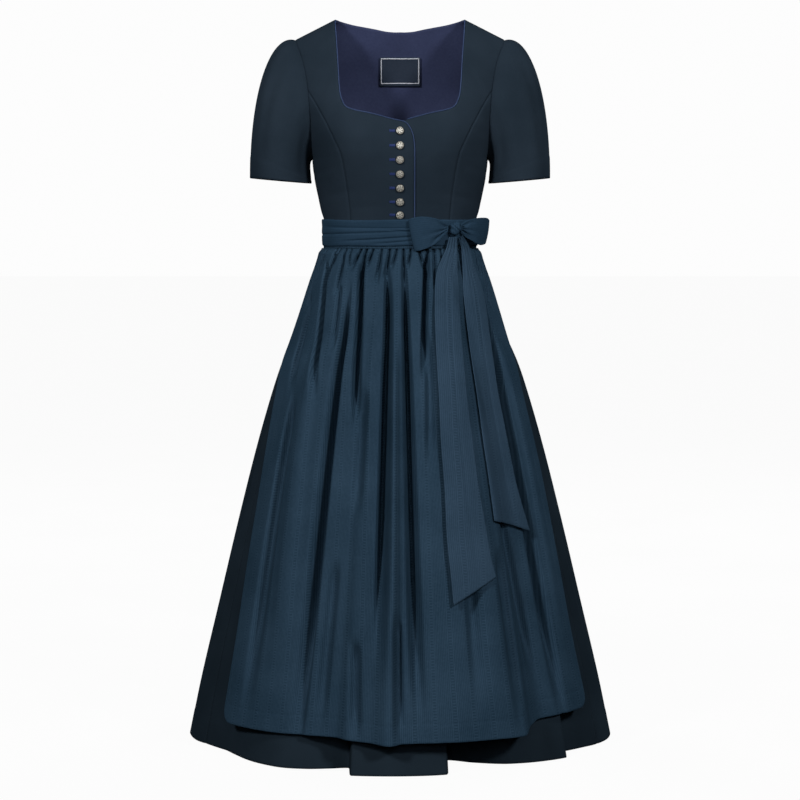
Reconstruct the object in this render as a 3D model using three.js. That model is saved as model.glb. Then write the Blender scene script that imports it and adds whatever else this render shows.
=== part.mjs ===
// A midi dirndl as it stands when worn, with no wearer in it: a fitted seven-panel bodice that
// buttons down the front, short sleeves, a gathered skirt, and a gathered apron whose long tie
// goes round the waist and ends in a bow on the wearer's left.
//
// Millimetres. +X is the wearer's left, -Y is the front, +Z is up. The origin lies midway
// between the two highest points of the neck edge, at their level, where shoulders carry it.
// Every cloth piece is a thin wall with its own rims. Neighbouring pieces stop a hair apart.

import * as THREE from 'three';

const DEG = Math.PI / 180;

// ---- Driving dimensions -------------------------------------------------------------------

const BODICE_WALL = 1.6;
const LINING_WALL = 1.2;
const SLEEVE_WALL = 1.4;
const SKIRT_WALL = 1.4;
const APRON_WALL = 1.2;
const TIE_WALL = 1.2;
const LABEL_WALL = 1.0;
const SEAM_GAP = 0.3;

const NECK_HALF_WIDTH = 113;
const WAIST_SEAM_Z = -366;
const HEM_Z = -1247;
const BODICE_POWER = 2.4;

// The bodice at each level. level is the height at the neck edge, side the height at the
// armhole edge. half is the half width there, wrap the angle through which the section turns.
// front and back are depths on the centre line, frontArm and backArm at the armhole edge.
const BODICE_LEVELS = [
  { level: 0, side: -35, half: 182, wrap: 24, front: 0, frontArm: 0, back: 0, backArm: 0 },
  { level: -5, side: -38, half: 181, wrap: 25, front: 17, frontArm: 7, back: 12, backArm: 7 },
  { level: -15, side: -45, half: 179, wrap: 27, front: 32, frontArm: 13, back: 21, backArm: 13 },
  { level: -37, side: -62, half: 172, wrap: 31, front: 51, frontArm: 23, back: 32, backArm: 22 },
  { level: -69, side: -88, half: 165, wrap: 39, front: 72, frontArm: 37, back: 47, backArm: 36 },
  { level: -100, side: -112, half: 160.5, wrap: 48, front: 88, frontArm: 47, back: 67, backArm: 46 },
  { level: -124, side: -131, half: 158, wrap: 54, front: 98, frontArm: 54, back: 82, backArm: 52 },
  { level: -150, side: -153, half: 156, wrap: 58, front: 107, frontArm: 59, back: 92, backArm: 52 },
  { level: -175, side: -175, half: 154, wrap: 61, front: 112, frontArm: 57, back: 97, backArm: 49.5 },
  { level: -205, side: -205, half: 153, wrap: 67, front: 115, frontArm: 46.4, back: 98, backArm: 39.6 },
  { level: -228, side: -228, half: 152.3, wrap: 77, front: 115, frontArm: 26.2, back: 96, backArm: 21.9 },
  { level: -236, side: -236, half: 152.1, wrap: 83, front: 114.5, frontArm: 14, back: 95.4, backArm: 11.7 },
  { level: -240, side: -240, half: 152, wrap: 90, front: 114, frontArm: 0, back: 95, backArm: 0 },
  { level: -262, side: -262, half: 150, wrap: 90, front: 110, frontArm: 0, back: 92, backArm: 0 },
  { level: -308, side: -308, half: 141.5, wrap: 90, front: 98, frontArm: 0, back: 85, backArm: 0 },
  { level: -331, side: -331, half: 136.3, wrap: 90, front: 92.5, frontArm: 0, back: 82, backArm: 0 },
  { level: -343, side: -343, half: 132.5, wrap: 90, front: 90, frontArm: 0, back: 81, backArm: 0 },
  { level: -352, side: -352, half: 130.9, wrap: 90, front: 88.6, frontArm: 0, back: 80.3, backArm: 0 },
  { level: -366, side: -366, half: 130, wrap: 90, front: 88, frontArm: 0, back: 80, backArm: 0 },
];

const BUST = { x: 82, z: -212, rise: 10, halfWidth: 42, halfHeight: 46 };

// Where the neck edge crosses each level: a wide neckline with rounded corners and a shallow dip.
const NECK_EDGE = [
  { level: 0, x: 113 },
  { level: -37, x: 110 },
  { level: -69, x: 107.5 },
  { level: -124, x: 103.5 },
  { level: -142, x: 100 },
  { level: -150, x: 96 },
  { level: -156, x: 90 },
  { level: -161, x: 76 },
  { level: -166, x: 52 },
  { level: -171, x: 30 },
  { level: -175, x: 14 },
  { level: -178, x: 0 },
];

// The free edge of the overlapping front: round at the top, then straight down to the waist.
const CLOSING_EDGE = [
  { level: -178, x: 6 },
  { level: -181, x: 10 },
  { level: -187, x: 15 },
  { level: -195, x: 19 },
  { level: -206, x: 22 },
  { level: -229, x: 24 },
  { level: -366, x: 24 },
];
const UNDERLAP_EDGE_X = -14;
const UNDERLAP = { depth: 2.5, fromX: 30, toX: 70, fromLevel: -150, toLevel: -190 };

// The curved seams from the armholes to the waist, in front and behind.
const FRONT_SEAM = [
  { level: -116, x: 158 },
  { level: -168, x: 132 },
  { level: -206, x: 113 },
  { level: -236, x: 100 },
  { level: -281, x: 92 },
  { level: -336, x: 86 },
  { level: -366, x: 84 },
];
const BACK_SEAM = [
  { level: -120, x: 158 },
  { level: -160, x: 126 },
  { level: -206, x: 103 },
  { level: -250, x: 88 },
  { level: -300, x: 76 },
  { level: -366, x: 68 },
];
const BACK_NECK_EDGE = [
  { level: 0, x: 113 },
  { level: -12, x: 98 },
  { level: -27, x: 75 },
  { level: -43, x: 46 },
  { level: -57, x: 18 },
  { level: -61, x: 4 },
];

const TOP_LEVEL = -0.1;
const STRAP_LEVELS = [TOP_LEVEL, -5, -15, -37, -69, -100, -124, -142];
const NECKLINE_LEVELS = [-150, -156, -161, -166, -171, -175, -178];
const CLOSING_LEVELS = [-181, -187, -195, -206];
const CLOSING_LOWER_LEVELS = [-222, -240.5, -262, -285, -308, -331, -342];
const LOWER_LEVELS = [-222, -234, -240.5, -262, -285, -308, -331, -352, -366];
const SIDE_TOP_LEVEL = -124;
const BACK_LEVELS = [
  TOP_LEVEL, -6, -18, -40, -75, -124, -150, -180, -206, -222, -234, -240.5, -280, -325, -366,
];

// Skirt sections: half width, depth of front and back, and how square the oval is.
const SKIRT_LEVELS = [
  { z: -366, half: 130, front: 88, back: 80, power: 2.4 },
  { z: -388, half: 130.3, front: 88, back: 80.5, power: 2.4 },
  { z: -394, half: 130.8, front: 88.5, back: 81.5, power: 2.4 },
  { z: -400, half: 132.5, front: 90.5, back: 86, power: 2.35 },
  { z: -414, half: 135, front: 97, back: 98, power: 2.3 },
  { z: -449, half: 146, front: 111, back: 118, power: 2.2 },
  { z: -484, half: 159.5, front: 126, back: 134, power: 2.1 },
  { z: -519, half: 174, front: 141, back: 147, power: 2.05 },
  { z: -554, half: 189, front: 155, back: 158, power: 2 },
  { z: -590, half: 205, front: 167, back: 169, power: 2 },
  { z: -624, half: 217, front: 176, back: 178, power: 2 },
  { z: -729, half: 248, front: 198, back: 202, power: 2 },
  { z: -870, half: 284, front: 223, back: 230, power: 2 },
  { z: -1012, half: 318, front: 245, back: 254, power: 2 },
  { z: -1155, half: 352, front: 268, back: 276, power: 2 },
  { z: -1247, half: 371, front: 285, back: 292, power: 2 },
];
const SKIRT_ROWS = [-366.4, -390, -402, -418, -450, -500, -575, -690, -840, -1010, -1247];

// How far the folds stand out of the plain oval at the hem, by angle from the centre front
// (negative on the wearer's right). The front holds a broad box pleat.
const SKIRT_FOLDS = [
  { angle: -180, out: -10 },
  { angle: -174, out: -14 },
  { angle: -167, out: 16 },
  { angle: -160, out: 18 },
  { angle: -154, out: -14 },
  { angle: -146, out: -12 },
  { angle: -139, out: 17 },
  { angle: -132, out: 14 },
  { angle: -127, out: -13 },
  { angle: -117, out: -8 },
  { angle: -109, out: 8 },
  { angle: -102, out: 7 },
  { angle: -96, out: -3 },
  { angle: -90, out: 0 },
  { angle: -84, out: -2 },
  { angle: -76, out: -6 },
  { angle: -67, out: -16 },
  { angle: -58, out: -19 },
  { angle: -50, out: -9 },
  { angle: -43, out: 5 },
  { angle: -37, out: 15 },
  { angle: -30, out: 22 },
  { angle: -24, out: 16 },
  { angle: -18, out: 2 },
  { angle: -13.6, out: -8 },
  { angle: -11.4, out: 43 },
  { angle: -4, out: 42 },
  { angle: 4, out: 40 },
  { angle: 11.2, out: 35 },
  { angle: 13.8, out: -62 },
  { angle: 21, out: -35 },
  { angle: 30, out: -7 },
  { angle: 39, out: 3 },
  { angle: 48, out: 7 },
  { angle: 51, out: -27 },
  { angle: 61, out: -20 },
  { angle: 70, out: -8 },
  { angle: 80, out: -1 },
  { angle: 90, out: 0 },
  { angle: 97, out: -4 },
  { angle: 104, out: 7 },
  { angle: 112, out: 9 },
  { angle: 118, out: -10 },
  { angle: 127, out: -13 },
  { angle: 134, out: 15 },
  { angle: 142, out: 17 },
  { angle: 147, out: -12 },
  { angle: 156, out: -14 },
  { angle: 162, out: 17 },
  { angle: 169, out: 15 },
  { angle: 174, out: -12 },
  { angle: 180, out: -10 },
];
const SKIRT_FOLD_GROWTH = 1.5;
const SKIRT_GATHER = { step: 5, deep: 1.8, shallow: 0.3, startZ: -393, fullZ: -410, fadeZ: -540 };
const APRON_COVER = { from: 80, to: 92 };
const SHARP_FOLD_ANGLES = [-13.6, -11.4, 11.2, 13.8, 48, 51];
const CLOSE_ANGLE = 1.8;
const SKIRT_SEAM_TRIM = 0.06;
const SKIRT_PANELS = [
  { name: 'skirt_front', from: -70, to: 70 },
  { name: 'skirt_side_left', from: 70, to: 120 },
  { name: 'skirt_back', from: 120, to: 240 },
  { name: 'skirt_side_right', from: -120, to: -70 },
];

// The apron: its side edges as angles round the skirt, its length by angle, and its form.
const APRON_TOP_Z = -393.4;
const APRON_HEM_Z = -1190;
const APRON_EDGES = [
  { z: -393, right: 86, left: 86 },
  { z: -480, right: 80, left: 78 },
  { z: -577, right: 73.5, left: 69 },
  { z: -650, right: 67.2, left: 64.6 },
  { z: -760, right: 62, left: 63.2 },
  { z: -920, right: 58, left: 61 },
  { z: -1080, right: 54.7, left: 59.6 },
  { z: -1190, right: 53.6, left: 60 },
];
const APRON_HEM = [
  { angle: -60, z: -1180, out: 9 },
  { angle: -50, z: -1190, out: 19 },
  { angle: -35, z: -1191, out: 27 },
  { angle: -24, z: -1190, out: 30 },
  { angle: -16, z: -1189, out: 36 },
  { angle: -12.5, z: -1190, out: 50 },
  { angle: -7, z: -1191, out: 60 },
  { angle: -2.4, z: -1192, out: 79 },
  { angle: 1.2, z: -1191, out: 64 },
  { angle: 12.3, z: -1190, out: 65 },
  { angle: 21.5, z: -1190, out: 60 },
  { angle: 31, z: -1191, out: 50 },
  { angle: 35.6, z: -1182, out: 22 },
  { angle: 40, z: -1175, out: 12 },
  { angle: 48, z: -1173, out: 15 },
  { angle: 62, z: -1168, out: 15 },
];
const APRON_STAND_OFF = [
  { z: -350, out: 5.4 },
  { z: -393.4, out: 5.4 },
  { z: -420, out: 7.5 },
  { z: -460, out: 9 },
  { z: -1190, out: 9 },
];
const APRON_SPREAD_GROWTH = 0.9;
const APRON_GATHER = { count: 30, height: 2.3, fadeZ: -500 };
const APRON_ROWS = [0, 0.018, 0.045, 0.085, 0.14, 0.21, 0.3, 0.41, 0.54, 0.69, 0.85, 1];
const TROUGH_PEAK_EARLY = 0.7;

// Long troughs of the apron. Angles at the top and bottom of each, its heights, depth, width.
const APRON_TROUGHS = [
  { top: -66, bottom: -54, topZ: -470, bottomZ: -640, deep: 6, wide: 3 },
  { top: -56, bottom: -43, topZ: -425, bottomZ: -620, deep: 7, wide: 3 },
  { top: -31, bottom: -28, topZ: -440, bottomZ: -880, deep: 7, wide: 3.2 },
  { top: -23, bottom: -16, topZ: -440, bottomZ: -720, deep: 5, wide: 2.6 },
  { top: -7.3, bottom: -7.6, topZ: -430, bottomZ: -1010, deep: 10, wide: 2.6 },
  { top: 2.4, bottom: 6.5, topZ: -430, bottomZ: -1060, deep: 9, wide: 2.4 },
  { top: 21, bottom: 13.5, topZ: -420, bottomZ: -900, deep: 9, wide: 3 },
  { top: 55, bottom: 47, topZ: -430, bottomZ: -1000, deep: 9, wide: 3 },
];

// Waistband of the apron and the tie over it, as distances outside the waist seam.
const WAISTBAND_ROWS = [
  { z: -354, out: 2.9 },
  { z: -372, out: 2.8 },
  { z: -393, out: 2.9 },
];
const WAISTBAND_HALF_ANGLE = 84;
const WAISTBAND_STEPS = 21;
const TIE_ROWS = [
  { z: -344, out: 5.7 },
  { z: -349, out: 5.5 },
  { z: -355.5, out: 4.5 },
  { z: -363, out: 5.4 },
  { z: -375, out: 5.3 },
  { z: -388.5, out: 4.5 },
];
const TIE_COLUMNS = 45;

// Bow loops: stations along each strip, out along the front layer and home along the back one.
const BOW_LOOP_RIGHT = [
  { topX: 82, topZ: -353, bottomX: 82, bottomZ: -363, y: -85.5 },
  { topX: 73, topZ: -347, bottomX: 70, bottomZ: -377, y: -92.5 },
  { topX: 58, topZ: -341.5, bottomX: 55, bottomZ: -388, y: -100 },
  { topX: 38, topZ: -339, bottomX: 40, bottomZ: -394, y: -104.5 },
  { topX: 22, topZ: -341, bottomX: 29, bottomZ: -396.5, y: -103 },
  { topX: 14, topZ: -344, bottomX: 24, bottomZ: -395, y: -99 },
  { topX: 19, topZ: -345, bottomX: 28, bottomZ: -391, y: -95.6 },
  { topX: 40, topZ: -343, bottomX: 42, bottomZ: -388, y: -94.6 },
  { topX: 62, topZ: -347, bottomX: 60, bottomZ: -380, y: -90.4 },
  { topX: 82, topZ: -354, bottomX: 82, bottomZ: -362, y: -82.6 },
];
const BOW_LOOP_LEFT = [
  { topX: 104, topZ: -351, bottomX: 104, bottomZ: -367, y: -74 },
  { topX: 113, topZ: -346, bottomX: 113, bottomZ: -374, y: -74 },
  { topX: 127, topZ: -342.5, bottomX: 126, bottomZ: -381, y: -67 },
  { topX: 141, topZ: -341, bottomX: 137, bottomZ: -387, y: -56 },
  { topX: 151, topZ: -342, bottomX: 146, bottomZ: -386, y: -45 },
  { topX: 154, topZ: -346, bottomX: 148, bottomZ: -383, y: -38 },
  { topX: 149, topZ: -347, bottomX: 143, bottomZ: -380, y: -36.5 },
  { topX: 136, topZ: -348, bottomX: 133, bottomZ: -377, y: -43 },
  { topX: 119, topZ: -351, bottomX: 118, bottomZ: -372, y: -59.5 },
  { topX: 104, topZ: -354, bottomX: 104, bottomZ: -364, y: -71 },
];
const KNOT = { x: 93, z: -360.5, halfWidth: 9.6, halfHeight: 11.5, halfDepth: 7.2, lift: 15 };
const KNOT_POWER = 2.4;
const KNOT_POLE = 80 * DEG;
const KNOT_RINGS = 8;
const KNOT_SIDES = 14;
const LOOP_STEPS = 14;
const TAIL_STEPS = 12;
const HALVINGS = 40;

// Tie tails: the two edges of each strip at stations from the knot down to the slanted end.
const TAIL_FRONT = [
  { leftX: 84, leftZ: -374, rightX: 97, rightZ: -374 },
  { leftX: 79, leftZ: -392, rightX: 98, rightZ: -392 },
  { leftX: 63, leftZ: -429, rightX: 98, rightZ: -429 },
  { leftX: 59, leftZ: -466, rightX: 100, rightZ: -464 },
  { leftX: 60, leftZ: -548, rightX: 104, rightZ: -546 },
  { leftX: 65, leftZ: -641, rightX: 112, rightZ: -637 },
  { leftX: 68, leftZ: -710, rightX: 120, rightZ: -703 },
  { leftX: 74, leftZ: -790, rightX: 130, rightZ: -780 },
  { leftX: 77, leftZ: -862, rightX: 142, rightZ: -848 },
  { leftX: 84, leftZ: -930, rightX: 152, rightZ: -905 },
  { leftX: 88, leftZ: -972, rightX: 159, rightZ: -931 },
];
const TAIL_BACK = [
  { leftX: 101, leftZ: -376, rightX: 107, rightZ: -371 },
  { leftX: 105, leftZ: -395, rightX: 119, rightZ: -390 },
  { leftX: 107, leftZ: -429, rightX: 128, rightZ: -424 },
  { leftX: 108, leftZ: -466, rightX: 141, rightZ: -461 },
  { leftX: 117, leftZ: -549, rightX: 153, rightZ: -541 },
  { leftX: 130, leftZ: -640, rightX: 165, rightZ: -628 },
  { leftX: 139, leftZ: -710, rightX: 180, rightZ: -706 },
  { leftX: 149, leftZ: -780, rightX: 197, rightZ: -790 },
  { leftX: 157, leftZ: -841, rightX: 219, rightZ: -866 },
];
const TAIL_BACK_LIFT = 3.4;
const TAIL_FRONT_LIFT = 7.4;
const TAIL_SHARES = [0, 0.2, 0.4, 0.6, 0.8, 1];
const TAIL_RIDGE = 1.4;

// Sleeves: the cuff is an oval, and each lengthwise line leaves the armhole outwards.
const CUFF = { x: 207, outerZ: -272, innerZ: -281, halfWidth: 53, halfDepth: 68 };
const SLEEVE_START_TOP = { x: 43, z: 14 };
const SLEEVE_START_UNDER = { x: 9, z: -3 };
const SLEEVE_START_SWELL = 16;
const SLEEVE_DROP = { top: 150, under: 17 };
const SLEEVE_CLEAR_OF_ARMHOLE = 0.8;
const SLEEVE_AROUND = 26;
const SLEEVE_ROWS = [0, 0.1, 0.22, 0.36, 0.52, 0.68, 0.84, 1];
const ARMHOLE_MID_LEVEL = -120;

const BUTTON_HEIGHTS = [-194, -219, -243, -267, -290.5, -314, -336];
const BUTTON = { radius: 6.9, rim: 1.2, crown: 3.4, sides: 14 };
const BUTTON_SHOULDER = { radius: 4.8, height: 2.9 };
const BUTTON_STAND_OFF = 0.35;
const PIPING_RADIUS = 1.2;
const PIPING_SIDES = 5;

const LABEL = { halfWidth: 36, topZ: -58, bottomZ: -107.5, clearance: 2.6, rows: 3, columns: 4 };
const LINING_SHORT_OF_EDGE = 0.75;
const LINING_CLEARANCE = 1.1;
const BACK_STRAP_COLUMNS = 3;
const FRONT_COLUMNS = 6;
const SIDE_COLUMNS = 3;
const LOOP_COLUMNS = 4;
const SEAM_SHARE_TRIM = 0.0015;

// Small steps along the two directions of a surface, used to find which way its cloth faces.
const BODICE_STEP = { u: 0.01, v: 0.6 };
const SLEEVE_STEP = { u: 0.004, v: 0.01 };
const SKIRT_STEP = { u: 0.5, v: 2 };
const APRON_STEP = { u: 0.004, v: -0.004 };
const WAIST_STEP = { u: 1, v: 0.5 };
const LOOP_STEP = { u: 0.05, v: 0.005 };
const TAIL_STEP = { u: 0.05, v: 0.01 };

const WOOL = { color: 0x222c38, roughness: 0.9, metalness: 0 };
const LINING_CLOTH = { color: 0x2e3350, roughness: 0.75, metalness: 0 };
const APRON_CLOTH = { color: 0x243746, roughness: 0.55, metalness: 0 };
const TIE_CLOTH = { color: 0x2a3f52, roughness: 0.5, metalness: 0 };
const PIPING_CLOTH = { color: 0x333f5a, roughness: 0.7, metalness: 0 };
const SILVER = { color: 0x9a9b98, roughness: 0.4, metalness: 0.9 };

// ---- Helpers ------------------------------------------------------------------------------

const lerp = THREE.MathUtils.lerp;
const vec = (x, y, z) => new THREE.Vector3(x, y, z);
const dirndl = new THREE.Group();

function addMesh(name, geometry, finish) {
  const mesh = new THREE.Mesh(geometry, new THREE.MeshStandardMaterial(finish));
  mesh.name = name;
  dirndl.add(mesh);
  return mesh;
}

// Slope of one column at a row of a table, kept from overshooting between rows.
function slopeAt(table, key, column, row) {
  const last = table.length - 1;
  const rise = (i) => {
    const span = table[i + 1][key] - table[i][key];
    return (table[i + 1][column] - table[i][column]) / span;
  };
  if (row === 0) return rise(0);
  if (row === last) return rise(last - 1);
  const before = rise(row - 1);
  const after = rise(row);
  if (before * after <= 0) return 0;
  return (2 * before * after) / (before + after);
}

// A smooth curve through one column of a table, read at any value of its key.
function read(table, key, column, at) {
  const falling = table[0][key] > table[1][key];
  const passed = (row) => (falling ? row[key] < at : row[key] > at);
  const next = table.findIndex(passed);
  if (next === 0) return table[0][column];
  if (next < 0) return table[table.length - 1][column];
  const start = table[next - 1];
  const end = table[next];
  const span = end[key] - start[key];
  const t = (at - start[key]) / span;
  const t2 = t * t;
  const t3 = t2 * t;
  return (
    (2 * t3 - 3 * t2 + 1) * start[column] +
    (t3 - 2 * t2 + t) * span * slopeAt(table, key, column, next - 1) +
    (3 * t2 - 2 * t3) * end[column] +
    (t3 - t2) * span * slopeAt(table, key, column, next)
  );
}

const spread = (from, to, count) =>
  Array.from({ length: count + 1 }, (_, i) => lerp(from, to, i / count));

const bump = (distance, width) => Math.exp(-((distance / width) ** 2));

function smoothStep(from, to, at) {
  const t = THREE.MathUtils.clamp((at - from) / (to - from), 0, 1);
  return t * t * (3 - 2 * t);
}

// Unit normal of a surface(u, v) by central differences over a small step.
function normalOf(surface, u, v, step) {
  const along = surface(u + step.u, v).sub(surface(u - step.u, v));
  const across = surface(u, v + step.v).sub(surface(u, v - step.v));
  return along.cross(across).normalize();
}

// A closed wall between an outer grid of points and the same grid moved by each point's inset.
// rows is a list of rows of { outer, inner }. closed joins the last column to the first.
function wallGeometry(rows, closed) {
  const rowCount = rows.length;
  const columnCount = rows[0].length;
  const positions = [];
  for (const side of ['outer', 'inner']) {
    for (const row of rows) {
      for (const point of row) positions.push(point[side].x, point[side].y, point[side].z);
    }
  }
  const half = rowCount * columnCount;
  const outer = (r, c) => r * columnCount + (c % columnCount);
  const inner = (r, c) => half + outer(r, c);
  const faces = [];
  const quad = (a, b, c, d) => faces.push(a, b, c, a, c, d);
  const spans = closed ? columnCount : columnCount - 1;
  for (let r = 0; r < rowCount - 1; r += 1) {
    for (let c = 0; c < spans; c += 1) {
      quad(outer(r, c), outer(r + 1, c), outer(r + 1, c + 1), outer(r, c + 1));
      quad(inner(r, c), inner(r, c + 1), inner(r + 1, c + 1), inner(r + 1, c));
    }
  }
  for (let c = 0; c < spans; c += 1) {
    quad(outer(0, c), outer(0, c + 1), inner(0, c + 1), inner(0, c));
    const end = rowCount - 1;
    quad(outer(end, c + 1), outer(end, c), inner(end, c), inner(end, c + 1));
  }
  if (!closed) {
    const end = columnCount - 1;
    for (let r = 0; r < rowCount - 1; r += 1) {
      quad(outer(r + 1, 0), outer(r, 0), inner(r, 0), inner(r + 1, 0));
      quad(outer(r, end), outer(r + 1, end), inner(r + 1, end), inner(r, end));
    }
  }
  return facingOut(positions, faces);
}

// Turns every face over where the solid would come out inside out.
function facingOut(positions, faces) {
  const corner = (i) => vec(positions[3 * i], positions[3 * i + 1], positions[3 * i + 2]);
  let volume = 0;
  for (let f = 0; f < faces.length; f += 3) {
    volume += corner(faces[f]).dot(corner(faces[f + 1]).cross(corner(faces[f + 2])));
  }
  if (volume < 0) faces.reverse();
  const geometry = new THREE.BufferGeometry();
  geometry.setAttribute('position', new THREE.Float32BufferAttribute(positions, 3));
  geometry.setIndex(faces);
  geometry.computeVertexNormals();
  return geometry;
}

// Samples surface(u, v) on a grid and gives it a wall. facing is 1 where the cross product of
// the two directions points out of the cloth, and -1 where it points in.
function wallRows(surface, us, vs, step, wall, facing) {
  return vs.map((v) =>
    us.map((u) => {
      const outer = surface(u, v);
      const inset = normalOf(surface, u, v, step).multiplyScalar(-facing * wall);
      return { outer, inner: outer.clone().add(inset) };
    }),
  );
}

// ---- Bodice -------------------------------------------------------------------------------

function ovalUnit(angle, power) {
  const s = Math.sin(angle);
  const c = Math.cos(angle);
  const reach = (Math.abs(s) ** power + Math.abs(c) ** power) ** (1 / power);
  return { across: s / reach, ahead: c / reach };
}

const bodiceColumn = (column, level) => read(BODICE_LEVELS, 'level', column, level);

// Share of the way from the centre line (0) to the armhole edge (1) at which |x| is reached.
function shareAtX(level, x) {
  const wrap = bodiceColumn('wrap', level) * DEG;
  const edge = ovalUnit(wrap, BODICE_POWER).across;
  const across = Math.min((edge * Math.abs(x)) / bodiceColumn('half', level), 1);
  const ahead = (1 - across ** BODICE_POWER) ** (1 / BODICE_POWER);
  return (Math.sign(x) * Math.atan2(across, ahead)) / wrap;
}

// A point of the bodice. face is 1 in front and -1 behind, share runs from -1 to 1 across it.
// A level above the shoulder seam is on the other face.
function bodicePoint(face, share, level) {
  if (level > 0) return bodicePoint(-face, share, -level);
  const half = bodiceColumn('half', level);
  const wrap = bodiceColumn('wrap', level) * DEG;
  const edge = ovalUnit(wrap, BODICE_POWER);
  const here = ovalUnit(share * wrap, BODICE_POWER);
  const x = (half * here.across) / edge.across;
  const centre = bodiceColumn(face > 0 ? 'front' : 'back', level);
  const arm = bodiceColumn(face > 0 ? 'frontArm' : 'backArm', level);
  const depth = lerp(centre, arm, (1 - here.ahead) / (1 - edge.ahead));
  const tilt = (bodiceColumn('side', level) - level) / (half - NECK_HALF_WIDTH);
  const z = level + tilt * (Math.abs(x) - NECK_HALF_WIDTH);
  const bust = BUST.rise * bump(Math.abs(x) - BUST.x, BUST.halfWidth);
  const swell = face > 0 ? bust * bump(z - BUST.z, BUST.halfHeight) : 0;
  return vec(x, -face * (depth + swell), z);
}

function bodiceNormal(face, share, level) {
  const surface = (u, v) => bodicePoint(face, u, v);
  const normal = normalOf(surface, share, level, BODICE_STEP);
  return normal.multiplyScalar(face);
}

// A panel of the bodice between two edges, each given as a share for every level.
function bodicePanel(name, face, levels, fromShare, toShare, count, sink = () => 0) {
  const rows = levels.map((level) => {
    const from = fromShare(level);
    const to = toShare(level);
    const length = bodicePoint(face, from, level).distanceTo(bodicePoint(face, to, level));
    const trim = (SEAM_GAP / 2 / length) * (to - from);
    return spread(from + trim, to - trim, count).map((share) => {
      const normal = bodiceNormal(face, share, level);
      const point = bodicePoint(face, share, level);
      const outer = point.clone().addScaledVector(normal, -sink(point.x, level));
      return { outer, inner: outer.clone().addScaledVector(normal, -BODICE_WALL) };
    });
  });
  addMesh(name, wallGeometry(rows, false), WOOL);
}

const neckX = (level) => read(NECK_EDGE, 'level', 'x', level);
const closingX = (level) => read(CLOSING_EDGE, 'level', 'x', level);
const belowNeck = (level) => level < NECK_EDGE[NECK_EDGE.length - 1].level;

function seamShare(table, side) {
  return (level) => {
    if (level > table[0].level) return side;
    return side * shareAtX(level, read(table, 'level', 'x', level));
  };
}

// The wearer's left front lies a little deeper where the right front laps over it.
function underlapSink(x, level) {
  const beside = 1 - smoothStep(UNDERLAP.fromX, UNDERLAP.toX, x);
  return UNDERLAP.depth * beside * (1 - smoothStep(UNDERLAP.toLevel, UNDERLAP.fromLevel, level));
}

const FRONT_LEVELS = [...STRAP_LEVELS, ...NECKLINE_LEVELS, ...CLOSING_LEVELS, ...LOWER_LEVELS];

function makeBodiceFronts() {
  const overlapEdge = (level) =>
    shareAtX(level, level <= CLOSING_EDGE[0].level ? closingX(level) : -neckX(level));
  bodicePanel(
    'bodice_front_right', 1, FRONT_LEVELS, seamShare(FRONT_SEAM, -1), overlapEdge, FRONT_COLUMNS,
  );
  const underlapEdge = (level) =>
    shareAtX(level, belowNeck(level) ? UNDERLAP_EDGE_X : neckX(level));
  const seam = seamShare(FRONT_SEAM, 1);
  bodicePanel(
    'bodice_front_left', 1, FRONT_LEVELS, underlapEdge, seam, FRONT_COLUMNS, underlapSink,
  );
}

function makeBodiceSides() {
  const beside = (level) => level <= SIDE_TOP_LEVEL;
  const inFront = FRONT_LEVELS.filter(beside);
  const behind = BACK_LEVELS.filter(beside);
  for (const [word, side] of [['right', -1], ['left', 1]]) {
    const edge = () => side;
    const frontSeam = seamShare(FRONT_SEAM, side);
    const backSeam = seamShare(BACK_SEAM, side);
    bodicePanel(`side_front_${word}`, 1, inFront, frontSeam, edge, SIDE_COLUMNS);
    bodicePanel(`side_back_${word}`, -1, behind, backSeam, edge, SIDE_COLUMNS);
  }
}

const BACK_DOWNS = BACK_LEVELS.map((level) => (level - TOP_LEVEL) / (WAIST_SEAM_Z - TOP_LEVEL));

// The centre back is one panel: each column starts at the shoulder seam or the neck edge and
// runs down to the waist, and the columns crowd together where the curved seams come in.
const neckShares = BACK_NECK_EDGE.map((row) => ({
  share: shareAtX(row.level, row.x),
  level: row.level,
}));

function topLevelAt(share) {
  const reach = Math.abs(share);
  if (reach >= neckShares[0].share) return TOP_LEVEL;
  return Math.min(read(neckShares, 'share', 'level', reach), TOP_LEVEL);
}

function backColumns() {
  const strap = spread(1, neckShares[0].share, BACK_STRAP_COLUMNS);
  const half = [...strap, ...neckShares.slice(1).map((row) => row.share)];
  return [...half.map((share) => -share), ...half.reverse()];
}

// A wall over the back. edge gives its half width as a share, sink how far it lies inside.
function backWall(columns, rowShares, top, edge, sink, wall) {
  return rowShares.map((down) =>
    columns.map((column) => {
      const level = lerp(top(column), WAIST_SEAM_Z, down);
      const share = column * edge(level);
      const normal = bodiceNormal(-1, share, level);
      const outer = bodicePoint(-1, share, level).addScaledVector(normal, -sink);
      return { outer, inner: outer.clone().addScaledVector(normal, -wall) };
    }),
  );
}

function makeBodiceBack() {
  const seam = seamShare(BACK_SEAM, 1);
  const edge = (level) => seam(level) - SEAM_SHARE_TRIM;
  const rows = backWall(backColumns(), BACK_DOWNS, topLevelAt, edge, 0, BODICE_WALL);
  addMesh('back_centre', wallGeometry(rows, false), WOOL);
}

function makeBackLining() {
  const seam = seamShare(BACK_SEAM, 1);
  const edge = (level) => seam(level) - SEAM_SHARE_TRIM;
  const sink = BODICE_WALL + LINING_CLEARANCE;
  const rows = backWall(backColumns(), BACK_DOWNS, topLevelAt, edge, sink, LINING_WALL);
  rows[0].forEach(({ outer, inner }, i) => {
    outer.lerp(rows[1][i].outer, LINING_SHORT_OF_EDGE);
    inner.lerp(rows[1][i].inner, LINING_SHORT_OF_EDGE);
  });
  addMesh('lining_back', wallGeometry(rows, false), LINING_CLOTH);
}

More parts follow.
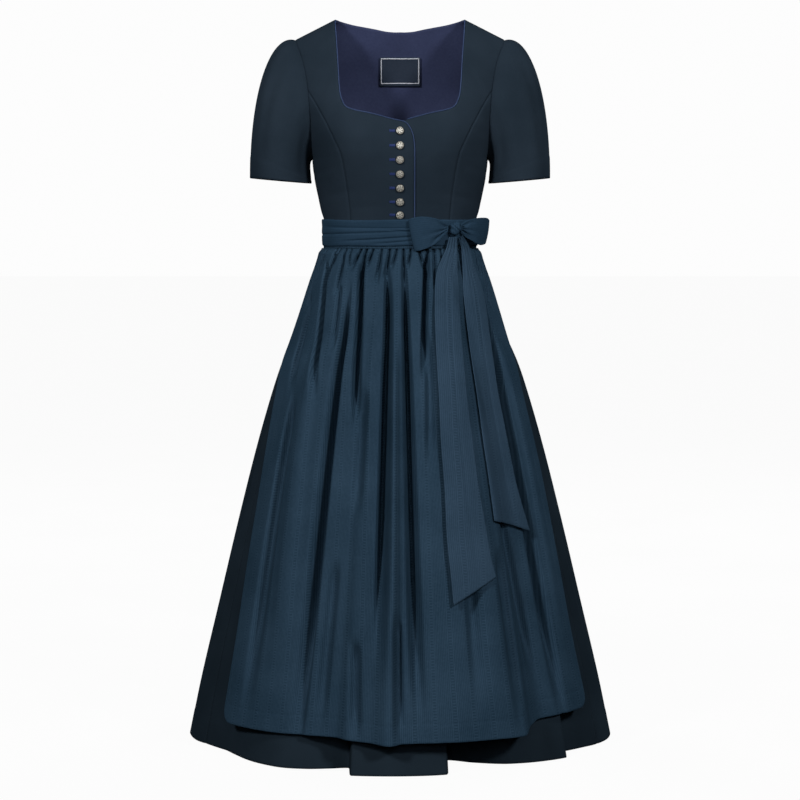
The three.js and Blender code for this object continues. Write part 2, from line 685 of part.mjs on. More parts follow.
// Level of the back at a given x and height, found by halving.
function backLevelAt(x, z) {
  let low = WAIST_SEAM_Z;
  let high = 0;
  for (let i = 0; i < HALVINGS; i += 1) {
    const middle = (low + high) / 2;
    if (bodicePoint(-1, shareAtX(middle, x), middle).z > z) high = middle;
    else low = middle;
  }
  return low;
}

function makeLabel() {
  const depth = BODICE_WALL + LINING_CLEARANCE + LINING_WALL + LABEL.clearance;
  const rows = spread(LABEL.topZ, LABEL.bottomZ, LABEL.rows).map((z) =>
    spread(-LABEL.halfWidth, LABEL.halfWidth, LABEL.columns).map((x) => {
      const level = backLevelAt(x, z);
      const share = shareAtX(level, x);
      const normal = bodiceNormal(-1, share, level);
      const outer = bodicePoint(-1, share, level).addScaledVector(normal, -depth);
      return { outer, inner: outer.clone().addScaledVector(normal, -LABEL_WALL) };
    }),
  );
  addMesh('label', wallGeometry(rows, false), LINING_CLOTH);
}

// ---- Piping and buttons -------------------------------------------------------------------

// A solid strung on closed rings of points, with a fan of faces over each end.
function ringSolid(rings) {
  const count = rings[0].length;
  const positions = rings.flat().flatMap((point) => point.toArray());
  const faces = [];
  for (let r = 0; r < rings.length - 1; r += 1) {
    for (let c = 0; c < count; c += 1) {
      const here = r * count + c;
      const beside = r * count + ((c + 1) % count);
      faces.push(here, beside, beside + count, here, beside + count, here + count);
    }
  }
  const last = (rings.length - 1) * count;
  for (let c = 1; c < count - 1; c += 1) {
    faces.push(0, c + 1, c);
    faces.push(last, last + c, last + c + 1);
  }
  return facingOut(positions, faces);
}

// Piping beside an edge. Each stop holds the edge point, the cloth's normal there and which
// way leads off the cloth.
function pipingSolid(stops) {
  const rings = stops.map(({ point, normal, away }) => {
    const centre = point.clone().addScaledVector(normal, -BODICE_WALL / 2);
    centre.addScaledVector(away, PIPING_RADIUS + SEAM_GAP);
    return spread(0, 2 * Math.PI, PIPING_SIDES)
      .slice(1)
      .map((turn) =>
        centre
          .clone()
          .addScaledVector(away, PIPING_RADIUS * Math.cos(turn))
          .addScaledVector(normal, PIPING_RADIUS * Math.sin(turn)),
      );
  });
  return ringSolid(rings);
}

// Stops along an edge given as a list of { face, share, level }, the cloth lying to the left
// of the way along it as seen from outside.
function edgeStops(places, onUnderlap) {
  const points = places.map(({ face, share, level }) => bodicePoint(face, share, level));
  return points.map((point, i) => {
    const { face, share, level } = places[i];
    const normal = bodiceNormal(face, share, level);
    const before = points[Math.max(i - 1, 0)];
    const after = points[Math.min(i + 1, points.length - 1)];
    const away = after.clone().sub(before).cross(normal).normalize();
    const sunk = face > 0 && point.x > 0 ? underlapSink(point.x, level) : 0;
    const edge = point.clone().addScaledVector(normal, onUnderlap ? -sunk : 0);
    return { point: edge, normal, away };
  });
}

function makePiping() {
  const frontLevels = NECKLINE_LEVELS.slice(0, -1).reverse();
  const upFront = [...frontLevels, ...[...STRAP_LEVELS].reverse()];
  const frontHalf = (side, levels) =>
    levels.map((level) => ({ face: 1, share: shareAtX(level, side * neckX(level)), level }));
  const backHalf = neckShares.slice(1);
  const overBack = [
    ...backHalf.map(({ share, level }) => ({ face: -1, share: -share, level })),
    ...[...backHalf].reverse().map(({ share, level }) => ({ face: -1, share, level })),
  ];
  const downLeft = frontHalf(1, [...upFront].reverse());
  const neck = [...frontHalf(-1, upFront), ...overBack, ...downLeft];
  addMesh('neck_piping', pipingSolid(edgeStops(neck, true)), PIPING_CLOTH);
  const closing = [...CLOSING_LEVELS, ...CLOSING_LOWER_LEVELS].reverse();
  const upClosing = closing.map((level) => ({
    face: 1,
    share: shareAtX(level, closingX(level)),
    level,
  }));
  addMesh('closing_piping', pipingSolid(edgeStops(upClosing, false)), PIPING_CLOTH);
}

function makeButtons() {
  const profile = [
    [0, 0],
    [BUTTON.radius, 0],
    [BUTTON.radius, BUTTON.rim],
    [BUTTON_SHOULDER.radius, BUTTON_SHOULDER.height],
    [0, BUTTON.crown],
  ].map(([radius, height]) => new THREE.Vector2(radius, height));
  BUTTON_HEIGHTS.forEach((level, i) => {
    const button = addMesh(
      `button_${i + 1}`,
      new THREE.LatheGeometry(profile, BUTTON.sides),
      SILVER,
    );
    const normal = bodiceNormal(1, 0, level);
    button.quaternion.setFromUnitVectors(vec(0, 1, 0), normal);
    button.position.copy(bodicePoint(1, 0, level).addScaledVector(normal, BUTTON_STAND_OFF));
  });
}

// ---- Sleeves ------------------------------------------------------------------------------

// A point of the armhole. turn runs once round it from the shoulder, the front first.
function armholePoint(side, turn) {
  const level = ARMHOLE_MID_LEVEL * (1 - Math.cos(2 * Math.PI * turn));
  const face = Math.sin(2 * Math.PI * turn) >= 0 ? 1 : -1;
  return bodicePoint(face, side, level);
}

function sleevePoint(side, turn, along) {
  const angle = 2 * Math.PI * turn;
  const high = (1 + Math.cos(angle)) / 2;
  const start = armholePoint(side, turn).add(vec(side * SLEEVE_CLEAR_OF_ARMHOLE, 0, 0));
  const leave = vec(
    side * lerp(SLEEVE_START_UNDER.x, SLEEVE_START_TOP.x, high),
    -SLEEVE_START_SWELL * Math.sin(angle),
    lerp(SLEEVE_START_UNDER.z, SLEEVE_START_TOP.z, high),
  );
  const cuff = vec(
    side * (CUFF.x + CUFF.halfWidth * Math.cos(angle)),
    -CUFF.halfDepth * Math.sin(angle),
    lerp(CUFF.innerZ, CUFF.outerZ, high),
  );
  const above = cuff.clone().add(vec(0, 0, lerp(SLEEVE_DROP.under, SLEEVE_DROP.top, high)));
  return new THREE.CubicBezierCurve3(start, start.clone().add(leave), above, cuff).getPoint(along);
}

function makeSleeves() {
  const turns = spread(0, 1, SLEEVE_AROUND).slice(0, -1);
  for (const [word, side] of [['right', -1], ['left', 1]]) {
    const surface = (turn, along) => sleevePoint(side, turn, along);
    const rows = wallRows(surface, turns, SLEEVE_ROWS, SLEEVE_STEP, SLEEVE_WALL, side);
    addMesh(`sleeve_${word}`, wallGeometry(rows, true), WOOL);
  }
}

// ---- Skirt --------------------------------------------------------------------------------

// A point of the plain oval skirt at an angle in degrees from the centre front, moved out.
function ovalPoint(degrees, z, out) {
  const angle = degrees * DEG;
  const column = (name) => read(SKIRT_LEVELS, 'z', name, z);
  const half = column('half');
  const depth = column(Math.cos(angle) >= 0 ? 'front' : 'back');
  const power = column('power');
  const { across, ahead } = ovalUnit(angle, power);
  const steep = power - 1;
  const nx = (Math.sign(across) * Math.abs(across) ** steep) / half;
  const ny = (-Math.sign(ahead) * Math.abs(ahead) ** steep) / depth;
  const size = Math.hypot(nx, ny);
  return vec(half * across + (out * nx) / size, -depth * ahead + (out * ny) / size, z);
}

const skirtDrop = (z, top) => THREE.MathUtils.clamp((top - z) / (top - HEM_Z), 0, 1);

function skirtOut(degrees, z) {
  const angle = degrees > 180 ? degrees - 360 : degrees;
  const fold = read(SKIRT_FOLDS, 'angle', 'out', angle);
  const grown = fold * skirtDrop(z, SKIRT_GATHER.startZ) ** SKIRT_FOLD_GROWTH;
  const behind = smoothStep(APRON_COVER.from, APRON_COVER.to, Math.abs(angle));
  const height = lerp(SKIRT_GATHER.shallow, SKIRT_GATHER.deep, behind);
  const fade = smoothStep(SKIRT_GATHER.fadeZ, SKIRT_GATHER.fullZ, z);
  const begun = smoothStep(WAIST_SEAM_Z, SKIRT_GATHER.startZ, z);
  return grown + height * fade * (1 - begun) * Math.cos((Math.PI * angle) / SKIRT_GATHER.step);
}

function makeSkirt() {
  const surface = (degrees, z) => ovalPoint(degrees, z, skirtOut(degrees, z));
  for (const { name, from, to } of SKIRT_PANELS) {
    const even = spread(from, to, (to - from) / SKIRT_GATHER.step);
    const sharp = SHARP_FOLD_ANGLES.filter((angle) => angle > from && angle < to);
    const near = (angle) => sharp.some((other) => Math.abs(other - angle) < CLOSE_ANGLE);
    const columns = [...even.filter((angle) => !near(angle)), ...sharp].sort((a, b) => a - b);
    columns[0] += SKIRT_SEAM_TRIM;
    columns[columns.length - 1] -= SKIRT_SEAM_TRIM;
    const rows = wallRows(surface, columns, SKIRT_ROWS, SKIRT_STEP, SKIRT_WALL, 1);
    addMesh(name, wallGeometry(rows, false), WOOL);
  }
}

// ---- Apron --------------------------------------------------------------------------------

// How far the apron stands out of the plain oval, leaving out its gathers and troughs.
function apronSpread(degrees, z) {
  const drop = THREE.MathUtils.clamp((APRON_TOP_Z - z) / (APRON_TOP_Z - APRON_HEM_Z), 0, 1);
  const grown = drop ** APRON_SPREAD_GROWTH;
  const hem = read(APRON_HEM, 'angle', 'out', degrees);
  return lerp(read(APRON_STAND_OFF, 'z', 'out', z), hem, grown);
}

function troughDepth(trough, degrees, z) {
  const along = (trough.topZ - z) / (trough.topZ - trough.bottomZ);
  if (along <= 0 || along >= 1) return 0;
  const centre = lerp(trough.top, trough.bottom, along);
  const strength = Math.sin(Math.PI * along ** TROUGH_PEAK_EARLY);
  return trough.deep * strength * bump(degrees - centre, trough.wide);
}

function apronOut(degrees, across, z) {
  const fade = smoothStep(APRON_GATHER.fadeZ, APRON_TOP_Z, z);
  const wave = Math.cos(Math.PI * APRON_GATHER.count * (across + 1));
  let out = apronSpread(degrees, z) + APRON_GATHER.height * fade * wave;
  for (const trough of APRON_TROUGHS) out -= troughDepth(trough, degrees, z);
  return out;
}

// across runs from -1 at the wearer's right edge to 1 at the left one, down from 0 to 1.
function apronPoint(across, down) {
  const edgeColumn = across < 0 ? 'right' : 'left';
  const hemAngle = across * read(APRON_EDGES, 'z', edgeColumn, APRON_HEM_Z);
  const z = lerp(APRON_TOP_Z, read(APRON_HEM, 'angle', 'z', hemAngle), down);
  const degrees = across * read(APRON_EDGES, 'z', edgeColumn, z);
  return ovalPoint(degrees, z, apronOut(degrees, across, z));
}

function makeApron() {
  const columns = spread(-1, 1, 2 * APRON_GATHER.count);
  const rows = wallRows(apronPoint, columns, APRON_ROWS, APRON_STEP, APRON_WALL, 1);
  addMesh('apron_skirt', wallGeometry(rows, false), APRON_CLOTH);
}

// A strip round the waist, its outer face set out of the waist seam's oval row by row.
function waistStrip(name, stripRows, columns, closed, finish) {
  const surface = (degrees, z) => {
    const flat = ovalPoint(degrees, WAIST_SEAM_Z, read(stripRows, 'z', 'out', z));
    return vec(flat.x, flat.y, z);
  };
  const heights = stripRows.map((row) => row.z);
  const rows = wallRows(surface, columns, heights, WAIST_STEP, TIE_WALL, 1);
  addMesh(name, wallGeometry(rows, closed), finish);
}

function makeWaist() {
  const half = WAISTBAND_HALF_ANGLE;
  const inFront = spread(-half, half, WAISTBAND_STEPS);
  waistStrip('apron_waistband', WAISTBAND_ROWS, inFront, false, APRON_CLOTH);
  const round = spread(-180, 180, TIE_COLUMNS).slice(0, -1);
  waistStrip('tie_band', TIE_ROWS, round, true, TIE_CLOTH);
}

// ---- Bow ----------------------------------------------------------------------------------

function stationCurve(stations, toPoint) {
  return new THREE.CatmullRomCurve3(stations.map(toPoint), false, 'centripetal');
}

function makeLoop(name, stations, facing) {
  const top = stationCurve(stations, (row) => vec(row.topX, row.y, row.topZ));
  const bottom = stationCurve(stations, (row) => vec(row.bottomX, row.y, row.bottomZ));
  const surface = (across, along) => {
    const t = THREE.MathUtils.clamp(along, 0, 1);
    return top.getPoint(t).lerp(bottom.getPoint(t), across);
  };
  const alongs = spread(0, 1, LOOP_STEPS);
  const rows = wallRows(
    surface, spread(0, 1, LOOP_COLUMNS), alongs, LOOP_STEP, TIE_WALL, facing,
  );
  addMesh(name, wallGeometry(rows, false), TIE_CLOTH);
}

// The knot is a rounded lump, squarer than a ball, against the tie.
function makeKnot() {
  const seat = ovalPoint(angleAtX(KNOT.x, WAIST_SEAM_Z, () => KNOT.lift), WAIST_SEAM_Z, KNOT.lift);
  const rings = spread(-KNOT_POLE, KNOT_POLE, KNOT_RINGS).map((tilt) =>
    spread(0, 2 * Math.PI, KNOT_SIDES)
      .slice(1)
      .map((turn) => {
        const slice = ovalUnit(tilt, KNOT_POWER);
        const round = ovalUnit(turn, KNOT_POWER);
        return vec(
          seat.x + KNOT.halfWidth * slice.ahead * round.across,
          seat.y - KNOT.halfDepth * slice.ahead * round.ahead,
          KNOT.z + KNOT.halfHeight * slice.across,
        );
      }),
  );
  addMesh('bow_knot', ringSolid(rings), TIE_CLOTH);
}

// Angle at which the oval, moved out by out(angle), reaches x on the wearer's left.
function angleAtX(x, z, out) {
  let low = 0;
  let high = 90;
  for (let i = 0; i < HALVINGS; i += 1) {
    const middle = (low + high) / 2;
    if (ovalPoint(middle, z, out(middle)).x > x) high = middle;
    else low = middle;
  }
  return low;
}

// A tail hangs over the crests of the apron, moved out by its lift.
function makeTail(name, stations, lift) {
  const left = stationCurve(stations, (row) => vec(row.leftX, 0, row.leftZ));
  const right = stationCurve(stations, (row) => vec(row.rightX, 0, row.rightZ));
  const surface = (across, along) => {
    const t = THREE.MathUtils.clamp(along, 0, 1);
    const place = left.getPoint(t).lerp(right.getPoint(t), across);
    const crest = APRON_GATHER.height + lift + TAIL_RIDGE * Math.sin(Math.PI * across);
    const out = (degrees) => apronSpread(degrees, place.z) + crest;
    const degrees = angleAtX(place.x, place.z, out);
    return ovalPoint(degrees, place.z, out(degrees));
  };
  const alongs = spread(0, 1, TAIL_STEPS);
  const rows = wallRows(surface, TAIL_SHARES, alongs, TAIL_STEP, TIE_WALL, -1);
  addMesh(name, wallGeometry(rows, false), TIE_CLOTH);
}

function makeBow() {
  makeLoop('bow_loop_right', BOW_LOOP_RIGHT, -1);
  makeLoop('bow_loop_left', BOW_LOOP_LEFT, 1);
  makeKnot();
  makeTail('tie_tail_front', TAIL_FRONT, TAIL_FRONT_LIFT);
  makeTail('tie_tail_back', TAIL_BACK, TAIL_BACK_LIFT);
}

makeBodiceFronts();
makeBodiceSides();
makeBodiceBack();
makeBackLining();
makeLabel();
makePiping();
makeButtons();
makeSleeves();
makeSkirt();
makeApron();
makeWaist();
makeBow();

export default dirndl;
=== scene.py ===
import math

import bpy
import numpy as np
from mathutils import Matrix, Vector


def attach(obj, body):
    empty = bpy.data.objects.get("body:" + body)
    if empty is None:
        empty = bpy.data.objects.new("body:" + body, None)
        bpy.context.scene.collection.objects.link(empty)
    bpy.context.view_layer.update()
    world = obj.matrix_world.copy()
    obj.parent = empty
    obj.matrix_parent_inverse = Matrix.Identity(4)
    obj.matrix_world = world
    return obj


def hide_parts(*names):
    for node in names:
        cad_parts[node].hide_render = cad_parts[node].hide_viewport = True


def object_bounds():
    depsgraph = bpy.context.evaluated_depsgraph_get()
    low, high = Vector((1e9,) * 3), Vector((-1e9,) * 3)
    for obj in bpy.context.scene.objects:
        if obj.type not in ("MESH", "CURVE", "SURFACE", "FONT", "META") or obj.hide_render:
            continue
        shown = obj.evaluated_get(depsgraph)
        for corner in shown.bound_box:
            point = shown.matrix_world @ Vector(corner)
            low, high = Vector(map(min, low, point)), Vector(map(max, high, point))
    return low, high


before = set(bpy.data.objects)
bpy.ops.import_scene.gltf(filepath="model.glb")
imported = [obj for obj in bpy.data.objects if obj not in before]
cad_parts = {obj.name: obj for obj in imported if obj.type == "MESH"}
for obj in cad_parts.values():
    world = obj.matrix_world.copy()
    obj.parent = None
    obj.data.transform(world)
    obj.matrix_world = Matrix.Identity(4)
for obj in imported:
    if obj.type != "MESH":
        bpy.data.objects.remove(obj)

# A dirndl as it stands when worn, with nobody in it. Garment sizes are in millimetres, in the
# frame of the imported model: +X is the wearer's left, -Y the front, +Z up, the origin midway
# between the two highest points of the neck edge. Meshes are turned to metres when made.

CAD_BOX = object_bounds()
MM = 0.001


def table(columns, rows):
    """Rows of numbers, as one array for each named column."""
    return dict(zip(columns.split(), np.array(rows, float).T))

# ---- Sizes of the cut and of the form, the same as the solids' ------------------------------

BODICE_WALL = 1.6
LINING_WALL = 1.2
SLEEVE_WALL = 1.4
SKIRT_WALL = 1.4
APRON_WALL = 1.2
TIE_WALL = 1.2
LABEL_WALL = 0.6

NECK_HALF_WIDTH = 113
BACK_ROUNDING = 7
WAIST_SEAM_Z = -366
HEM_Z = -1247
BODICE_POWER = 2.4
SIDES = (("right", -1), ("left", 1))

BODICE_LEVELS = table("level side half wrap front front_arm back back_arm", [
    (0, -35, 182, 24, 0, 0, 0, 0),
    (-5, -38, 181, 25, 17, 7, 12, 7),
    (-15, -45, 179, 27, 32, 13, 21, 13),
    (-37, -62, 172, 31, 51, 23, 32, 22),
    (-69, -88, 165, 39, 72, 37, 47, 36),
    (-100, -112, 160.5, 48, 88, 47, 67, 46),
    (-124, -131, 158, 54, 98, 54, 82, 52),
    (-150, -153, 156, 58, 107, 59, 92, 52),
    (-175, -175, 154, 61, 112, 57, 97, 49.5),
    (-205, -205, 153, 67, 115, 46.4, 98, 39.6),
    (-228, -228, 152.3, 77, 115, 26.2, 96, 21.9),
    (-236, -236, 152.1, 83, 114.5, 14, 95.4, 11.7),
    (-240, -240, 152, 90, 114, 0, 95, 0),
    (-262, -262, 150, 90, 110, 0, 92, 0),
    (-308, -308, 141.5, 90, 98, 0, 85, 0),
    (-331, -331, 136.3, 90, 92.5, 0, 82, 0),
    (-343, -343, 132.5, 90, 90, 0, 81, 0),
    (-352, -352, 130.9, 90, 88.6, 0, 80.3, 0),
    (-366, -366, 130, 90, 88, 0, 80, 0),
])
BUST = {"x": 82, "z": -212, "rise": 10, "half_width": 42, "half_height": 46}

NECK_EDGE = table("level x", [
    (0, 113), (-37, 110), (-69, 107.5), (-124, 103.5), (-142, 100), (-150, 96), (-156, 90),
    (-161, 76), (-166, 52), (-171, 30), (-175, 14), (-178, 0),
])
# The free edge of the front that laps over: down the neckline, round its corner, to the waist.
OVERLAP_EDGE = table("level x", [
    (0, -113), (-37, -110), (-69, -107.5), (-124, -103.5), (-142, -100), (-150, -96),
    (-156, -90), (-161, -76), (-166, -52), (-171, -30), (-175, -14), (-178, 3), (-181, 10),
    (-187, 15), (-195, 19), (-206, 22), (-229, 24), (-366, 24),
])
OVERLAP_CORNER_LEVEL = -175.2
UNDERLAP_EDGE_X = -14
UNDERLAP = {"depth": 2.5, "from_x": 30, "to_x": 70, "from_level": -150, "to_level": -190}
FRONT_SEAM = table("level x", [
    (-116, 158), (-168, 132), (-206, 113), (-236, 100), (-281, 92), (-336, 86), (-366, 84),
])
BACK_SEAM = table("level x", [
    (-120, 158), (-160, 126), (-206, 103), (-250, 88), (-300, 76), (-366, 68),
])
BACK_NECK_EDGE = table("level x", [
    (0, 113), (-12, 98), (-27, 75), (-43, 46), (-57, 18), (-61, 4), (-61.3, 0),
])
TOP_LEVEL = -0.1
FRONT_LEVELS = np.array([
    TOP_LEVEL, -5, -15, -37, -69, -100, -124, -142, -150, -156, -161, -166, -171, -175, -178,
    -181, -187, -195, -206, -222, -234, -240.5, -262, -285, -308, -331, -352, -366,
])
BACK_LEVELS = np.array([
    TOP_LEVEL, -6, -18, -40, -75, -124, -150, -180, -206, -222, -234, -240.5, -280, -325, -366,
])
SIDE_TOP_LEVEL = -124
SIDE_TOP_BELOW_SEAM = 0.5

SKIRT_LEVELS = table("z half front back power", [
    (-366, 130, 88, 80, 2.4),
    (-388, 130.3, 88, 80.5, 2.4),
    (-394, 130.8, 88.5, 81.5, 2.4),
    (-400, 132.5, 90.5, 86, 2.35),
    (-414, 135, 97, 98, 2.3),
    (-449, 146, 111, 118, 2.2),
    (-484, 159.5, 126, 134, 2.1),
    (-519, 174, 141, 147, 2.05),
    (-554, 189, 155, 158, 2),
    (-590, 205, 167, 169, 2),
    (-624, 217, 176, 178, 2),
    (-729, 248, 198, 202, 2),
    (-870, 284, 223, 230, 2),
    (-1012, 318, 245, 254, 2),
    (-1155, 352, 268, 276, 2),
    (-1247, 371, 285, 292, 2),
])
SKIRT_FOLDS = table("angle out", [
    (-180, -10), (-174, -14), (-167, 16), (-160, 18), (-154, -14), (-146, -12), (-139, 17),
    (-132, 14), (-127, -13), (-117, -8), (-109, 8), (-102, 7), (-96, -3), (-90, 0), (-84, -2),
    (-76, -6), (-67, -16), (-58, -19), (-50, -9), (-43, 5), (-37, 15), (-30, 22), (-24, 16),
    (-18, 2), (-13.6, -8), (-11.4, 43), (-4, 42), (4, 40), (11.2, 35), (13.8, -62), (21, -35),
    (30, -7), (39, 3), (48, 7), (51, -27), (61, -20), (70, -8), (80, -1), (90, 0), (97, -4),
    (104, 7), (112, 9), (118, -10), (127, -13), (134, 15), (142, 17), (147, -12), (156, -14),
    (162, 17), (169, 15), (174, -12), (180, -10),
])
SKIRT_FOLD_GROWTH = 1.5
SKIRT_FOLD_START_Z = -393
SKIRT_CLEARANCE = 2.2
GATHER_STEEPNESS = 3.2
FOLD_STEEPNESS = 2.7
SKIRT_SLIT_TOP_Z = -391
# Where the skirt comes out from under the apron, by angle, and how it swells below its seam.
SKIRT_BARE = {"from": 70, "to": 86}
SKIRT_PLUMP = {"out": 2.6, "full_z": -420, "flat_z": -520}
# Each width of the skirt: its two seams by angle, and how far apart its columns stand.
SKIRT_PANELS = [
    ("skirt_front", -70, 70, 0.9), ("skirt_side_left", 70, 120, 0.6),
    ("skirt_back", 120, 240, 0.6), ("skirt_side_right", -120, -70, 0.6),
]

APRON_TOP_Z = -393.4
APRON_HEM_Z = -1190
APRON_EDGES = table("z right left", [
    (-393, 86, 86), (-480, 80, 78), (-577, 73.5, 69), (-650, 67.2, 64.6), (-760, 62, 63.2),
    (-920, 58, 61), (-1080, 54.7, 59.6), (-1190, 53.6, 60),
])
APRON_HEM = table("angle z out", [
    (-60, -1180, 9), (-50, -1190, 19), (-35, -1191, 27), (-24, -1190, 30), (-16, -1189, 36),
    (-12.5, -1190, 50), (-7, -1191, 60), (-2.4, -1192, 79), (1.2, -1191, 64),
    (12.3, -1190, 65), (21.5, -1190, 60), (31, -1191, 50), (35.6, -1182, 22), (40, -1175, 12),
    (48, -1173, 15), (62, -1168, 15),
])
APRON_STAND_OFF = table("z out", [
    (-350, 5.4), (-393.4, 5.4), (-420, 7.5), (-460, 9), (-1190, 9),
])
APRON_SPREAD_GROWTH = 0.9
APRON_CORNER = {"radius": 20, "per_degree": 5.8}
APRON_CREST = 3
# The gathers puff out below their seam, less so near the edges.
APRON_PUFF = {"out": 2.4, "full": 55, "none": 78, "rise": 9, "full_z": -440, "flat_z": -540}

WAISTBAND_ROWS = table("z out", [(-354, 2.9), (-372, 2.8), (-393, 2.9)])
WAISTBAND_HALF_ANGLE = 84
TIE_ROWS = table("z out", [
    (-344, 5.7), (-349, 5.5), (-355.5, 5), (-363, 5.4), (-375, 5.3), (-388.5, 4.7),
])

LOOP_RIGHT = table("top_x top_z bottom_x bottom_z y", [
    (82, -353, 82, -363, -85.5),
    (73, -347, 70, -377, -92.5),
    (58, -341.5, 55, -388, -100),
    (38, -339, 40, -394, -104.5),
    (22, -341, 29, -396.5, -103),
    (14, -344, 24, -395, -99),
    (19, -345, 28, -391, -95.6),
    (40, -343, 42, -388, -94.6),
    (62, -347, 60, -380, -90.4),
    (82, -354, 82, -362, -82.6),
])
LOOP_LEFT = table("top_x top_z bottom_x bottom_z y", [
    (104, -351, 104, -367, -74),
    (113, -346, 113, -374, -74),
    (127, -342.5, 126, -381, -67),
    (141, -341, 137, -387, -56),
    (151, -342, 146, -386, -45),
    (154, -346, 148, -383, -38),
    (149, -347, 143, -380, -36.5),
    (136, -348, 133, -377, -43),
    (119, -351, 118, -372, -59.5),
    (104, -354, 104, -364, -71),
])
KNOT = {"x": 95, "z": -358.5, "half_width": 9.6, "half_height": 11.5, "half_depth": 7.2}
KNOT_LIFT = 15
TAIL_FRONT = table("left_x left_z right_x right_z", [
    (84, -374, 97, -374),
    (79, -392, 98, -392),
    (63, -429, 98, -429),
    (59, -466, 100, -464),
    (60, -548, 104, -546),
    (65, -641, 112, -637),
    (68, -710, 120, -703),
    (74, -790, 130, -780),
    (77, -862, 142, -848),
    (84, -930, 152, -905),
    (88, -972, 159, -931),
])
TAIL_BACK = table("left_x left_z right_x right_z", [
    (101, -376, 107, -371),
    (105, -395, 119, -390),
    (107, -429, 128, -424),
    (108, -466, 141, -461),
    (117, -549, 153, -541),
    (130, -640, 165, -628),
    (139, -710, 180, -706),
    (149, -780, 197, -790),
    (157, -841, 219, -866),
])
TAIL_FRONT_LIFT = 7.4
TAIL_BACK_LIFT = 3.4
TAIL_RIDGE = 1.4

CUFF = {"x": 207, "outer_z": -272, "inner_z": -281, "half_width": 53, "half_depth": 68}
SLEEVE_START_TOP = (43, 14)
SLEEVE_START_UNDER = (9, -3)
SLEEVE_START_SWELL = 16
SLEEVE_DROP_TOP = 150
SLEEVE_DROP_UNDER = 17
SLEEVE_INSIDE_ARMHOLE = 1.5
ARMHOLE_MID_LEVEL = -120

BUTTON_LEVELS = [-194, -219, -243, -267, -290.5, -314, -336]
BUTTON = {"radius": 6.9, "rim": 1.2, "crown": 3.4, "petals": 6, "beads": 20, "relief": 0.8}
BUTTON_STAND_OFF = 0.35
BUTTON_SPIN = 0.37
BUTTON_UNDER = table("share height", [(1, 0.6), (0.96, 0.15), (0.7, 0), (0.02, 0)])
BUTTONHOLE = {
    "from_x": -17.5, "to_x": -8.5, "height": 5, "threads": 15, "thread": 0.38, "lift": 0.1,
}
PIPING_RADIUS = 0.9
LABEL = {"half_width": 36, "top": -58, "bottom": -107.5, "depth": 6.5}
LABEL_FRAME = {
    "inset_x": 1.4, "inset_top": 1.5, "inset_bottom": 4.5, "width": 1.5, "rise": 0.3, "step": 1.2,
}
LINING_DEPTH = 2.7
LINING_OVER_EDGE = 0.008

# ---- Creases listed one by one: what the solids leave to the cloth --------------------------

# The stitched gathers of the apron. at is the angle at the waist, lean how far the slit leans
# over on its way down, both in degrees; the rest in mm, and wide in degrees.
APRON_SLITS = table("at lean length deep wide", [
    (-82, -1.5, 90, 4.8, 1.1), (-77.5, -1, 55, 5.6, 1), (-72, -2, 120, 6.9, 1.2),
    (-66.5, -1.5, 60, 6.9, 1), (-61, -5, 44, 9.2, 1.1), (-49, -6, 60, 11.3, 1.1),
    (-45.5, -6, 30, 10.1, 0.9), (-40.5, -2.5, 80, 10.5, 1.1), (-36, 0, 36, 7.7, 0.9),
    (-28.5, -6, 36, 11.3, 1), (-24.5, -2.5, 54, 11.5, 1.1), (-19.5, -4, 32, 10.5, 0.9),
    (-13.3, -2.5, 60, 9.2, 1), (-7.5, -2.5, 50, 11.3, 1.1), (-2.3, -4.5, 36, 10.1, 0.9),
    (2.6, 0.2, 60, 11.3, 1.1), (8, -3.4, 36, 10.1, 0.9), (13.5, 4, 36, 10.5, 1),
    (19.7, -1.7, 60, 11.5, 1.1), (24.5, -1, 70, 9.6, 1.1), (29.5, 1.5, 44, 8.8, 1),
    (34.5, 2, 60, 9.2, 1), (39.5, 2, 40, 8.5, 0.9), (44.5, 2.5, 90, 9.6, 1.1),
    (49.5, 2, 44, 8.5, 1), (54, 1, 60, 9.6, 1), (61.5, 2, 50, 8.8, 1),
    (68.8, 1.8, 110, 6.9, 1.2), (74.4, 1, 56, 5.6, 1), (80, 1.6, 80, 5.2, 1.1),
])
